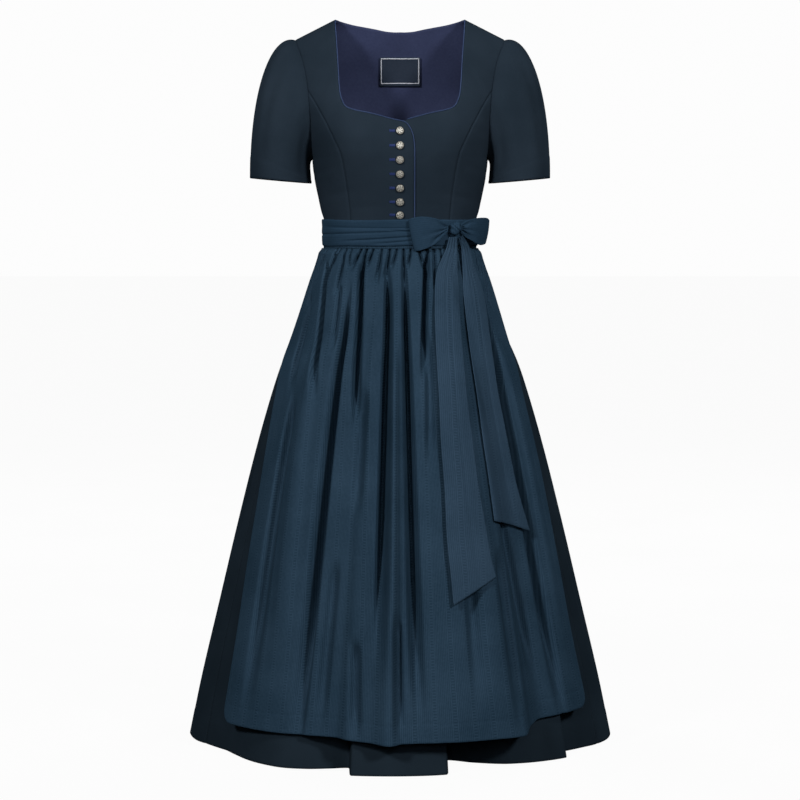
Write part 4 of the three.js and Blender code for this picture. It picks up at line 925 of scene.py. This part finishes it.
def wear(piece, material, node=None):
    """Puts a piece on the dress: its material, its body, and the node it stands for, which it
    hides."""
    piece.data.materials.append(material)
    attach(piece, "root")
    if node:
        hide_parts(node)
    return piece

# ---- Bodice ---------------------------------------------------------------------------------

SEAM_ROLL = {"deep": 1.3, "wide": 2.1}


def row_lengths(grid):
    """Distance along each row from its first point."""
    steps = np.linalg.norm(np.diff(grid, axis=1), axis=2)
    return np.hstack([np.zeros((len(grid), 1)), np.cumsum(steps, axis=1)])


def column_lengths(grid):
    return row_lengths(grid.transpose(1, 0, 2)).T


def cloth_uv(grid):
    """Cloth coordinates worked out from a grid: across from its middle, and down."""
    across = row_lengths(grid)
    across = across - across.mean(axis=1, keepdims=True)
    return np.stack([across, -column_lengths(grid)], axis=-1)


def cloth(node, grid, wall, material, slot, uv=None, **form):
    """A shell of cloth, worn in place of its node."""
    uv = cloth_uv(grid) if uv is None else uv
    return wear(shell(f"{node}_cloth", grid, wall, uv, **form), material, node)


def rolled(face, grid, normal):
    """A panel with the soft pulls of the bodice, and its two side edges rolled in."""
    along = row_lengths(grid)
    roll = bump(along, SEAM_ROLL["wide"]) + bump(along[:, -1:] - along, SEAM_ROLL["wide"])
    return grid - normal * (SEAM_ROLL["deep"] * roll + bodice_creases(face, grid))[..., None]


def bodice_panel(name, face, levels, first, last, columns, sink=None):
    """A panel between two edges, given as shares at each level."""
    level = levels[:, None]
    share = lerp(first[:, None], last[:, None], crowd(columns)[None, :])
    grid = bodice_point(face, share, level)
    normal = bodice_normal(face * np.ones_like(share), share, level)
    if sink is not None:
        grid = grid - normal * sink(grid[..., 0], level)[..., None]
    cloth(name, rolled(face, grid, normal), BODICE_WALL, DRESS, "dress_cloth")


# Soft pulls of the bodice: centre, half length, half width, slant in degrees, depth.
BODICE_PULLS = table("x z long wide slant deep", [
    (-128, -112, 30, 5, 58, 0.8), (130, -108, 28, 5, -60, 0.8),
    (-126, -180, 26, 6, 35, 0.7), (124, -186, 26, 6, -34, 0.7),
    (-106, -300, 30, 6, 12, 0.7), (104, -306, 30, 6, -14, 0.7),
    (-60, -322, 34, 7, 6, 0.5), (56, -318, 30, 7, -5, 0.5),
    (-58, -160, 26, 7, -25, 0.5), (62, -162, 26, 7, 25, 0.5),
    (-132, -262, 20, 5, 20, 0.8), (132, -258, 20, 5, -22, 0.8),
])


def bodice_creases(face, grid):
    """Depth of the soft pulls; the back has the same ones, a little apart."""
    shift = 0 if face > 0 else 11
    depth = np.zeros(grid.shape[:2])
    for x, z, long, wide, slant, deep in zip(*BODICE_PULLS.values()):
        dx, dz = grid[..., 0] - x + shift, grid[..., 2] - z + shift
        turn = math.radians(slant)
        along = dx * math.cos(turn) + dz * math.sin(turn)
        beside = -dx * math.sin(turn) + dz * math.cos(turn)
        depth += deep * bump(along, long) * bump(beside, wide)
    return depth


def make_fronts():
    levels = refine(FRONT_LEVELS, 6)
    right_seam, left_seam = (seam_share(FRONT_SEAM, side, levels) for _, side in SIDES)
    overlap = share_at_x(levels, read(OVERLAP_EDGE, "level", "x", levels))
    neck = read(NECK_EDGE, "level", "x", levels)
    below_neck = levels < NECK_EDGE["level"][-1]
    underlap = share_at_x(levels, np.where(below_neck, UNDERLAP_EDGE_X, neck))
    bodice_panel("bodice_front_right", 1, levels, right_seam, overlap, 46)
    bodice_panel("bodice_front_left", 1, levels, underlap, left_seam, 46, underlap_sink)


def make_sides():
    for word, side in SIDES:
        for name, face, seam, stops, parts in (
            ("side_front", 1, FRONT_SEAM, FRONT_LEVELS, 6),
            ("side_back", -1, BACK_SEAM, BACK_LEVELS, 12),
        ):
            top = seam["level"][0] - SIDE_TOP_BELOW_SEAM
            levels = refine(np.concatenate([[top], stops[stops <= SIDE_TOP_LEVEL]]), parts)
            armhole = np.full(len(levels), float(side))
            first = seam_share(seam, side, levels)
            bodice_panel(f"{name}_{word}", face, levels, first, armhole, 30)


def back_top_level(share):
    """Height of the back's upper edge: the shoulder seam, and the neck between the straps."""
    edge = share_at_x(BACK_NECK_EDGE["level"], BACK_NECK_EDGE["x"])
    neck = {"share": edge, "level": BACK_NECK_EDGE["level"]}
    inside = np.minimum(read(neck, "share", "level", np.abs(share)), TOP_LEVEL)
    return np.where(np.abs(share) >= edge[0], TOP_LEVEL, inside)


def back_grid(sink, first_down):
    """The back between its two curved seams, sunk below the cloth's outer face."""
    edge = share_at_x(BACK_NECK_EDGE["level"], BACK_NECK_EDGE["x"])
    half = np.concatenate([refine([1, edge[0]], 10), refine(edge, 7)[1:]])
    column = np.concatenate([-half, half[-2::-1]])[None, :]
    downs = refine((BACK_LEVELS - TOP_LEVEL) / (WAIST_SEAM_Z - TOP_LEVEL), 5)
    downs = np.concatenate([[first_down], downs[1:]])
    level = lerp(back_top_level(column), WAIST_SEAM_Z, downs[:, None])
    limit = seam_share(BACK_SEAM, 1, level)
    share = column * limit
    normal = bodice_normal(-np.ones_like(share), share, level)
    return bodice_point(-1, share, level) - sink * normal, normal


def make_back():
    grid, normal = back_grid(0, 0)
    cloth("back_centre", rolled(-1, grid, normal), BODICE_WALL, DRESS, "dress_cloth")
    grid, _ = back_grid(LINING_DEPTH, -LINING_OVER_EDGE)
    cloth("lining_back", grid, LINING_WALL, LINING, "lining_cloth")


def back_inside(x, z, depth):
    """A point on the back at x and height z, at a depth inside its outer face."""

    def above(level):
        return bodice_point(-1, share_at_x(level, x), level)[..., 2] > z

    level = halved(np.full(x.shape, float(WAIST_SEAM_Z)), np.zeros(x.shape), above)
    share = share_at_x(level, x)
    return bodice_point(-1, share, level) - depth * bodice_normal(-np.ones_like(x), share, level)


def label_layer(name, x_ends, z_ends, counts, depth, wall):
    """A flat layer that lies on the back's inside at a depth under its outer face."""
    x, z = np.meshgrid(np.linspace(*x_ends, counts[0]), np.linspace(*z_ends, counts[1]))
    return shell(name, back_inside(x, z, depth), wall, np.stack([x, z], axis=-1))


def make_label():
    half, high, low = LABEL["half_width"], LABEL["top"], LABEL["bottom"]
    depth, wide = LABEL["depth"], LABEL_FRAME["width"]
    patch = label_layer("label_patch", (-half, half), (high, low), (37, 28), depth, LABEL_WALL)
    side = half - LABEL_FRAME["inset_x"]
    top, bottom = high - LABEL_FRAME["inset_top"], low + LABEL_FRAME["inset_bottom"]
    strips = {
        "top": ((-side, side), (top, top - wide)),
        "bottom": ((-side, side), (bottom + wide, bottom)),
        "side_right": ((-side, wide - side), (top, bottom)),
        "side_left": ((side - wide, side), (top, bottom)),
    }
    for word, ends in strips.items():
        counts = [max(3, int(abs(b - a) / LABEL_FRAME["step"])) for a, b in ends]
        name, on_patch = f"label_frame_{word}", depth + LABEL_WALL
        strip = label_layer(name, *ends, counts, on_patch, LABEL_FRAME["rise"])
        wear(strip, LABEL_THREAD)
    wear(patch, LABEL_CLOTH, "label")

# ---- Piping, buttonholes and buttons --------------------------------------------------------


def evenly(columns, count):
    """Stops of a path, given as arrays, moved to even distances along its points."""
    face, share, level = columns
    points = bodice_point(face, share, level)
    steps = np.linalg.norm(np.diff(points, axis=0), axis=1)
    along = np.concatenate([[0], np.cumsum(steps)])
    even = np.linspace(0, along[-1], count)
    near = np.searchsorted(along, even).clip(1, len(along) - 1)
    nearest = np.where(even - along[near - 1] < along[near] - even, near - 1, near)
    return face[nearest], np.interp(even, along, share), np.interp(even, along, level)


def piping(name, path, sink):
    """A round cord along a path on the bodice, given as its faces, shares and levels."""
    points, normal = bodice_point(*path), bodice_normal(*path)
    away = unit(np.cross(np.gradient(points, axis=0), normal))
    depth = (sink + BODICE_WALL / 2)[:, None]
    centre = points - normal * depth + away * PIPING_RADIUS
    turns = np.linspace(0, 2 * np.pi, 10, endpoint=False)[None, :, None]
    around = away[:, None] * np.cos(turns) + normal[:, None] * np.sin(turns)
    cord = solid(f"{name}_cord", *barrel(centre[:, None] + PIPING_RADIUS * around))
    wear(cord, PIPING, name)


def make_piping():
    corner = np.linspace(OVERLAP_CORNER_LEVEL, -150, 60)
    rising = np.concatenate([corner, refine(FRONT_LEVELS[7::-1], 6)[1:]])
    front = share_at_x(rising, read(NECK_EDGE, "level", "x", rising))
    edge_level = refine(BACK_NECK_EDGE["level"], 8)[1:]
    edge_share = share_at_x(edge_level, read(BACK_NECK_EDGE, "level", "x", edge_level))
    ones, back = np.ones(len(rising)), -np.ones(len(edge_level))
    face = np.concatenate([ones, back, back[:-1], ones])
    share = np.concatenate([-front, -edge_share, edge_share[-2::-1], front[::-1]])
    level = np.concatenate([rising, edge_level, edge_level[-2::-1], rising[::-1]])
    face, share, level = path = evenly((face, share, level), 420)
    x = bodice_point(*path)[:, 0]
    piping("neck_piping", path, np.where((face > 0) & (x > 0), underlap_sink(x, level), 0))
    rising = refine([-344, -229, -206, -195, -187, -181, -178, OVERLAP_CORNER_LEVEL], 24)
    share = share_at_x(rising, read(OVERLAP_EDGE, "level", "x", rising))
    path = evenly((np.ones(len(rising)), share, rising), 160)
    piping("closing_piping", path, np.zeros(160))


def make_buttonholes():
    """Worked buttonholes: a bar of close stitches beside each button."""
    thick, tall = BUTTONHOLE["thread"], BUTTONHOLE["height"] / 2
    places = np.linspace(BUTTONHOLE["from_x"], BUTTONHOLE["to_x"], BUTTONHOLE["threads"])
    for number, level in enumerate(BUTTON_LEVELS, 1):
        stitches = []
        for share in share_at_x(level, places):
            normal = bodice_normal(1, share, level)
            centre = bodice_point(1, share, level) + normal * BUTTONHOLE["lift"]
            up = unit(np.array([0, 0, 1]) - normal * normal[2])
            axes = (np.cross(up, normal) * thick, normal * thick, up * tall)
            stitches.append(ball(centre, axes))
        wear(solid(f"buttonhole_{number}", *joined(stitches)), BUTTONHOLE_THREAD)


def button_relief(radius, turn):
    """Height of a button's face over its rim, and how much of it is raised ornament."""
    size = BUTTON["radius"]
    dome = (BUTTON["crown"] - BUTTON["rim"]) * np.sqrt(np.clip(1 - (radius / size) ** 2, 0, 1))
    boss = bump(radius, 0.2 * size)
    petal_round = np.abs(np.cos(BUTTON["petals"] * turn / 2)) ** 0.8
    petals = petal_round * bump(radius - 0.44 * size, 0.2 * size)
    beads = np.abs(np.cos(BUTTON["beads"] * turn / 2)) * bump(radius - 0.86 * size, 0.085 * size)
    ring = bump(radius - 0.7 * size, 0.04 * size)
    raised = np.clip(boss + petals + 0.9 * beads + 0.6 * ring, 0, 1.2)
    return dome + BUTTON["relief"] * raised, raised


def make_buttons():
    shares = np.linspace(0.02, 1, 30)
    turn = np.linspace(0, 2 * np.pi, 110, endpoint=False)[None, :]
    height, raised = button_relief(BUTTON["radius"] * shares[:, None], turn)
    height = np.minimum(BUTTON["rim"] + height, BUTTON["crown"] + 0.2)
    under = BUTTON_UNDER["height"][:, None] + 0 * turn
    raised = np.vstack([raised, np.full(under.shape, 0.4)])
    radii = BUTTON["radius"] * np.concatenate([shares, BUTTON_UNDER["share"]])[:, None]
    rings = stack(radii * np.cos(turn), radii * np.sin(turn), np.vstack([height, under]))
    for number, level in enumerate(BUTTON_LEVELS, 1):
        normal = bodice_normal(1, 0, level)
        seat = bodice_point(1, 0, level) + normal * BUTTON_STAND_OFF
        side = unit(np.cross([0.0, 0.0, 1.0], normal))
        spin = BUTTON_SPIN * number
        first = side * math.cos(spin) + np.cross(normal, side) * math.sin(spin)
        axes = np.stack([first, np.cross(normal, first), normal])
        piece = mesh_object(f"silver_button_{number}", *barrel(seat + rings @ axes))
        layer = piece.data.attributes.new("raised", "FLOAT", "POINT")
        layer.data.foreach_set("value", raised.ravel())
        wear(piece, SILVER, f"button_{number}")

# ---- Sleeves --------------------------------------------------------------------------------

# Soft lengthwise folds of a sleeve, by turn; start and end along it, depth and width.
SLEEVE_FOLDS = table("turn lean start end deep wide", [
    (0.06, -0.01, 0.0, 0.5, 1.2, 0.012), (0.13, 0.02, 0.05, 0.95, 2.2, 0.03),
    (0.24, 0.01, 0.3, 1.1, 1.8, 0.035), (0.36, 0.02, 0.1, 0.9, 2.4, 0.03),
    (0.45, 0.0, 0.0, 0.6, 1.4, 0.02), (0.56, 0.01, 0.1, 0.7, 1.6, 0.02),
    (0.66, -0.02, 0.15, 1.0, 2.2, 0.03), (0.78, 0.0, 0.2, 1.1, 1.9, 0.035),
    (0.88, -0.02, 0.05, 0.9, 2.0, 0.03), (0.95, 0.01, 0.0, 0.45, 1.2, 0.012),
])
SLEEVE_HEM = {"along": 0.91, "step": 0.5}


def make_sleeves():
    turns = np.linspace(0, 1, 126, endpoint=False)
    turn, along = np.meshgrid(turns, refine([0, 0.06, 1], [12, 83]))
    hem = SLEEVE_HEM["step"] * smooth_step(SLEEVE_HEM["along"], SLEEVE_HEM["along"] + 0.004, along)
    across = np.linspace(0, 400, len(turns) + 1)[None, :] * np.ones((len(along), 1))
    uv = np.stack([across, -250 * np.hstack([along, along[:, :1]])], axis=-1)
    for word, side in SIDES:
        grid = sleeve_point(side, turn, along)
        normal = grid_normals(grid, True, middle_of(grid, "row"))
        depth = -hem
        for place, lean, start, end, deep, wide in zip(*SLEEVE_FOLDS.values()):
            t = np.clip((along - start) / (end - start), 0, 1)
            away = (turn - place - lean * t + 0.5 + 0.03 * (side > 0)) % 1 - 0.5
            depth = depth + deep * np.sin(np.pi * t) ** 0.8 * bump(away, wide)
        grid = grid - normal * depth[..., None]
        form = {"centre": "row", "closed": True}
        cloth(f"sleeve_{word}", grid, SLEEVE_WALL, DRESS, "dress_cloth", uv, **form)

# ---- Skirt and apron ------------------------------------------------------------------------

SHARP_ANGLES = [-13.6, -11.4, 11.2, 13.8, 48, 51]
SKIRT_HEM = {"rise": 42, "step": 0.5}
SKIRT_SEAM = {"deep": 0.9, "wide": 0.45}


def skirt_columns(start, end, step):
    """Angles a step apart, with more of them where a pleat turns sharply."""
    even = np.linspace(start, end, round((end - start) / step) + 1)
    sharp = np.array([angle for angle in SHARP_ANGLES if start < angle < end])
    return np.unique(np.concatenate([even, sharp - 0.5, sharp, sharp + 0.5]))


def make_skirt():
    heights = refine([-366.4, -389, -430, -560, -1195, -1247], [8, 22, 26, 46, 13])
    hem_line = HEM_Z + SKIRT_HEM["rise"]
    for name, start, end, step in SKIRT_PANELS:
        degrees, z = np.meshgrid(skirt_columns(start, end, step), heights)
        hem = SKIRT_HEM["step"] * smooth_step(hem_line, hem_line - 3, z)
        seam = np.minimum(degrees - start, end - degrees)
        groove = SKIRT_SEAM["deep"] * bump(seam, SKIRT_SEAM["wide"])
        out = skirt_out(degrees, z) - under_apron_sink(degrees, z) + hem - groove
        # The skirt panels wear the darker copy of the dress twill, whose extra darkness is painted
        # shade.
        cloth(name, oval_point(degrees, z, out), SKIRT_WALL, SKIRT_TWILL_PAINTED_SHADE, "dress_cloth")


APRON_CUT_HALF = 450
APRON_LENGTH = 830
HEM_STITCH = {"rise": 30, "deep": 0.6, "wide": 1.2}


def make_apron():
    down = refine([0, 0.02, 0.1, 0.25, 0.95, 1], [8, 24, 24, 62, 15])
    column, row = np.meshgrid(np.linspace(-1, 1, 341), down)
    grid = apron_point(column, row)
    normal = grid_normals(grid, False, middle_of(grid, "axis"))
    from_hem = (1 - row) * (APRON_TOP_Z - APRON_HEM_Z)
    groove = HEM_STITCH["deep"] * bump(from_hem - HEM_STITCH["rise"], HEM_STITCH["wide"])
    uv = np.stack([column * APRON_CUT_HALF, -row * APRON_LENGTH], axis=-1)
    grid = grid - normal * groove[..., None]
    cloth("apron_skirt", grid, APRON_WALL, APRON, "apron_cloth", uv)

# ---- Waistband, tie and bow -----------------------------------------------------------------


def waist_point(degrees, z, out):
    flat = oval_point(degrees, np.full(np.shape(z), float(WAIST_SEAM_Z)), out)
    flat[..., 2] = z
    return flat


def make_waistband():
    columns = np.linspace(-WAISTBAND_HALF_ANGLE, WAISTBAND_HALF_ANGLE, 170)
    degrees, z = np.meshgrid(columns, np.linspace(-354, -393, 16))
    pucker = 0.35 * np.sin(degrees * 1.9) * smooth_step(-386, -392, z)
    grid = waist_point(degrees, z, read(WAISTBAND_ROWS, "z", "out", z) + pucker)
    cloth("apron_waistband", grid, TIE_WALL, APRON, "apron_cloth")


def tie_depth(degrees, z):
    """Depth of the tie's creases, each of which fades at its ends."""
    depth = np.zeros(z.shape)
    for start, end, start_z, end_z, deep, wide in zip(*TIE_CREASES.values()):
        share = np.clip(((degrees - start) % 360) / (end - start), 0, 1)
        strength = smooth_step(0, 0.35, share) * (1 - smooth_step(0.85, 1, share))
        off = z - lerp(start_z, end_z, share) + 1.5 * np.sin(np.pi * share)
        depth += deep * strength * bump(off, wide * (1.3 - 0.5 * share))
    return depth


def make_tie():
    columns = np.linspace(-180, 180, 270, endpoint=False)
    degrees, share = np.meshgrid(columns, np.linspace(0, 1, 44))
    turn = np.radians(degrees)
    top = -344 + 0.5 * np.sin(3 * turn) + 0.4 * np.sin(5 * turn + 1)
    bottom = -388.5 + 0.6 * np.sin(2 * turn + 0.5) + 0.4 * np.sin(7 * turn)
    z = lerp(top, bottom, share)
    edge_roll = 0.8 * (bump(share, 0.03) + bump(1 - share, 0.03))
    out = read(TIE_ROWS, "z", "out", z) + 0.5 - tie_depth(degrees, z) - edge_roll
    across = np.linspace(0, 760, len(columns) + 1)[None, :] * np.ones((len(share), 1))
    uv = np.stack([np.hstack([z, z[:, :1]]), across], axis=-1)
    cloth("tie_band", waist_point(degrees, z, out), TIE_WALL, TIE, "tie_cloth", uv, closed=True)


# Creases of a bow loop, which fan out from the knot: place across it at the knot and at the
# far end, how far along the loop they reach, and their depth and width across.
LOOP_CREASES = table("near far reach deep wide", [
    (0.4, 0.2, 0.16, 2.8, 0.06),
    (0.6, 0.92, 0.26, 3.6, 0.06),
    (0.5, 0.57, 0.38, 1.8, 0.07),
    (0.24, 0.1, 0.26, 1.5, 0.06),
    (0.72, 0.78, 0.3, 1.2, 0.05),
])
LOOP_BELLY = 1.2


def ribbon(first, last, along, across):
    """A grid of points between two edges, each a curve through its stations."""
    edges = (station_curve(edge, along)[:, None] for edge in (first, last))
    return lerp(*edges, across[None, :, None])


def make_loop(name, at):
    along, across = np.linspace(0, 1, 112), np.linspace(0, 1, 50)
    top = stack(at["top_x"], at["y"], at["top_z"])
    bottom = stack(at["bottom_x"], at["y"], at["bottom_z"])
    grid = ribbon(top, bottom, along, across)
    normal = grid_normals(grid, False, middle_of(grid, "point"))
    along = along[:, None]
    end = 2 * np.minimum(along, 1 - along)
    depth = -LOOP_BELLY * np.sin(np.pi * across) * np.sin(np.pi * along) ** 2
    for near, far, reach, deep, wide in zip(*LOOP_CREASES.values()):
        t = np.clip(end / (2 * reach), 0, 1)
        depth += deep * (1 - t) ** 0.8 * bump(across - lerp(near, far, t), wide * (0.7 + t))
    grid = grid - normal * (depth * smooth_step(0, 0.06, end))[..., None]
    uv = np.stack(np.broadcast_arrays(across * 52, along * 170), axis=-1)
    cloth(name, grid, TIE_WALL, TIE, "tie_cloth", uv, centre="point")


def angle_at_x(x, z, out):
    """Angle at which the oval, moved out by out(angle), reaches x on the wearer's left."""

    def beyond(angle):
        return oval_point(angle, z, out(angle))[..., 0] > x

    return halved(np.zeros(x.shape), np.full(x.shape, 90.0), beyond)


def make_knot():
    """The knot: a rounded lump, wound slantwise by folds of the tie."""
    at = np.array(float(WAIST_SEAM_Z))
    angle = angle_at_x(np.array(float(KNOT["x"])), at, lambda degrees: KNOT_LIFT)
    seat = oval_point(angle, at, KNOT_LIFT)
    tilt = np.linspace(-0.47 * np.pi, 0.47 * np.pi, 60)[:, None]
    turn = np.linspace(0, 2 * np.pi, 90, endpoint=False)[None, :]
    slice_across, slice_ahead = oval_unit(tilt, 2.4)
    round_across, round_ahead = oval_unit(turn, 2.4)
    winding = np.sin(5.2 * np.sin(tilt) + 2.4 * np.sin(turn) + 0.6)
    fold = 1 + 0.1 * winding - 0.22 * bump(np.sin(tilt) + 0.7 * np.sin(turn) - 0.1, 0.15)
    x = seat[0] + KNOT["half_width"] * slice_ahead * round_across * fold
    y = seat[1] - KNOT["half_depth"] * slice_ahead * round_ahead * fold
    z = KNOT["z"] + KNOT["half_height"] * slice_across * (0.5 + 0.5 * fold)
    piece = solid("bow_knot_cloth", *barrel(stack(x, y, z)))
    wear(piece, TIE, "bow_knot")


# Lengthwise creases of a tail: place across at the top and bottom, reach down, depth, width.
TAIL_CREASES = table("top bottom reach deep wide", [
    (0.25, 0.18, 0.35, 2.2, 0.09),
    (0.5, 0.42, 0.5, 1.8, 0.07),
    (0.78, 0.72, 0.3, 2.0, 0.08),
    (0.6, 0.66, 1.4, 0.9, 0.06),
])


def make_tail(name, at, lift):
    along, across = refine([0, 0.3, 1], [46, 75]), np.linspace(0, 1, 46)
    left = stack(at["left_x"], 0, at["left_z"])
    place = ribbon(left, stack(at["right_x"], 0, at["right_z"]), along, across)
    x, z = place[..., 0], place[..., 2]
    crest = APRON_CREST + lift + TAIL_RIDGE * np.sin(np.pi * across[None, :])
    depth = np.zeros(x.shape)
    for top, bottom, reach, deep, wide in zip(*TAIL_CREASES.values()):
        t = np.clip(along[:, None] / reach, 0, 1)
        depth += deep * (1 - t) * bump(across - lerp(top, bottom, t), wide)
    angle = angle_at_x(x, z, lambda degrees: apron_spread(degrees, z) + crest)
    grid = oval_point(angle, z, apron_spread(angle, z) + crest - depth)
    uv = np.stack([row_lengths(grid), -column_lengths(grid)], axis=-1)
    cloth(name, grid, TIE_WALL, TAILS, "tie_cloth", uv)


make_fronts()
make_sides()
make_back()
make_label()
make_piping()
make_buttonholes()
make_buttons()
make_sleeves()
make_skirt()
make_apron()
make_waistband()
make_tie()
make_loop("bow_loop_right", LOOP_RIGHT)
make_loop("bow_loop_left", LOOP_LEFT)
make_knot()
make_tail("tie_tail_front", TAIL_FRONT, TAIL_FRONT_LIFT)
make_tail("tie_tail_back", TAIL_BACK, TAIL_BACK_LIFT)

# ---- Stage: floor, light and camera ---------------------------------------------------------

CAMERA_PLACE = (0, -4.0, -0.335)
CAMERA_TILT = 4.627
CAMERA_LENS = 103.19
SENSOR = 36
FLOOR_SIZE = 60
FLOOR_GAP = 0.0005


def make_floor():
    half, floor_z = FLOOR_SIZE / 2, CAD_BOX[0][2] - FLOOR_GAP
    corners = [(x * half, y * half, floor_z) for x, y in ((-1, -1), (1, -1), (1, 1), (-1, 1))]
    mesh = bpy.data.meshes.new("floor")
    mesh.from_pydata(corners, [], [(0, 1, 2, 3)])
    mesh.materials.append(floor_material())
    floor = link("floor", mesh)
    floor.visible_diffuse = False
    floor.visible_glossy = False


def make_light(name, place, target_z, size, power, shine=True):
    """A round lamp that faces a point on the dress's upright axis."""
    light = bpy.data.lights.new(name, "AREA")
    light.shape, light.size, light.energy = "DISK", size, power
    lamp = link(name, light)
    lamp.location = place
    lamp.visible_glossy = shine
    towards = Vector((0, 0, target_z)) - Vector(place)
    lamp.rotation_euler = towards.to_track_quat("-Z", "Y").to_euler()


def make_camera():
    camera = bpy.data.cameras.new("camera")
    camera.sensor_width = SENSOR
    camera.lens = CAMERA_LENS
    camera.clip_end = 100
    eye = link("camera", camera)
    eye.location = CAMERA_PLACE
    eye.rotation_euler = (math.radians(90 - CAMERA_TILT), 0, 0)
    bpy.context.scene.camera = eye


def make_world():
    world = bpy.data.worlds.new("studio")
    world.use_nodes = True
    background = world.node_tree.nodes["Background"].inputs
    background["Color"].default_value = (1, 1, 1, 1)
    background["Strength"].default_value = 0.98
    world.cycles_visibility.diffuse = False
    world.cycles_visibility.glossy = False
    bpy.context.scene.world = world
    bpy.context.scene.view_settings.view_transform = "Standard"


make_camera()
make_world()
make_floor()
make_light("key_right", (-2.5, -3.2, 1.75), -0.5, 0.7, 103)
make_light("key_left", (2.5, -3.2, 1.65), -0.5, 0.7, 94)
make_light("fill", (0.1, -4.2, 0.3), -0.6, 1.6, 19)
make_light("back_right", (-2.4, 3.1, 1.2), -0.6, 0.9, 60, False)
make_light("back_left", (2.5, 3.0, 1.2), -0.6, 0.9, 88, False)
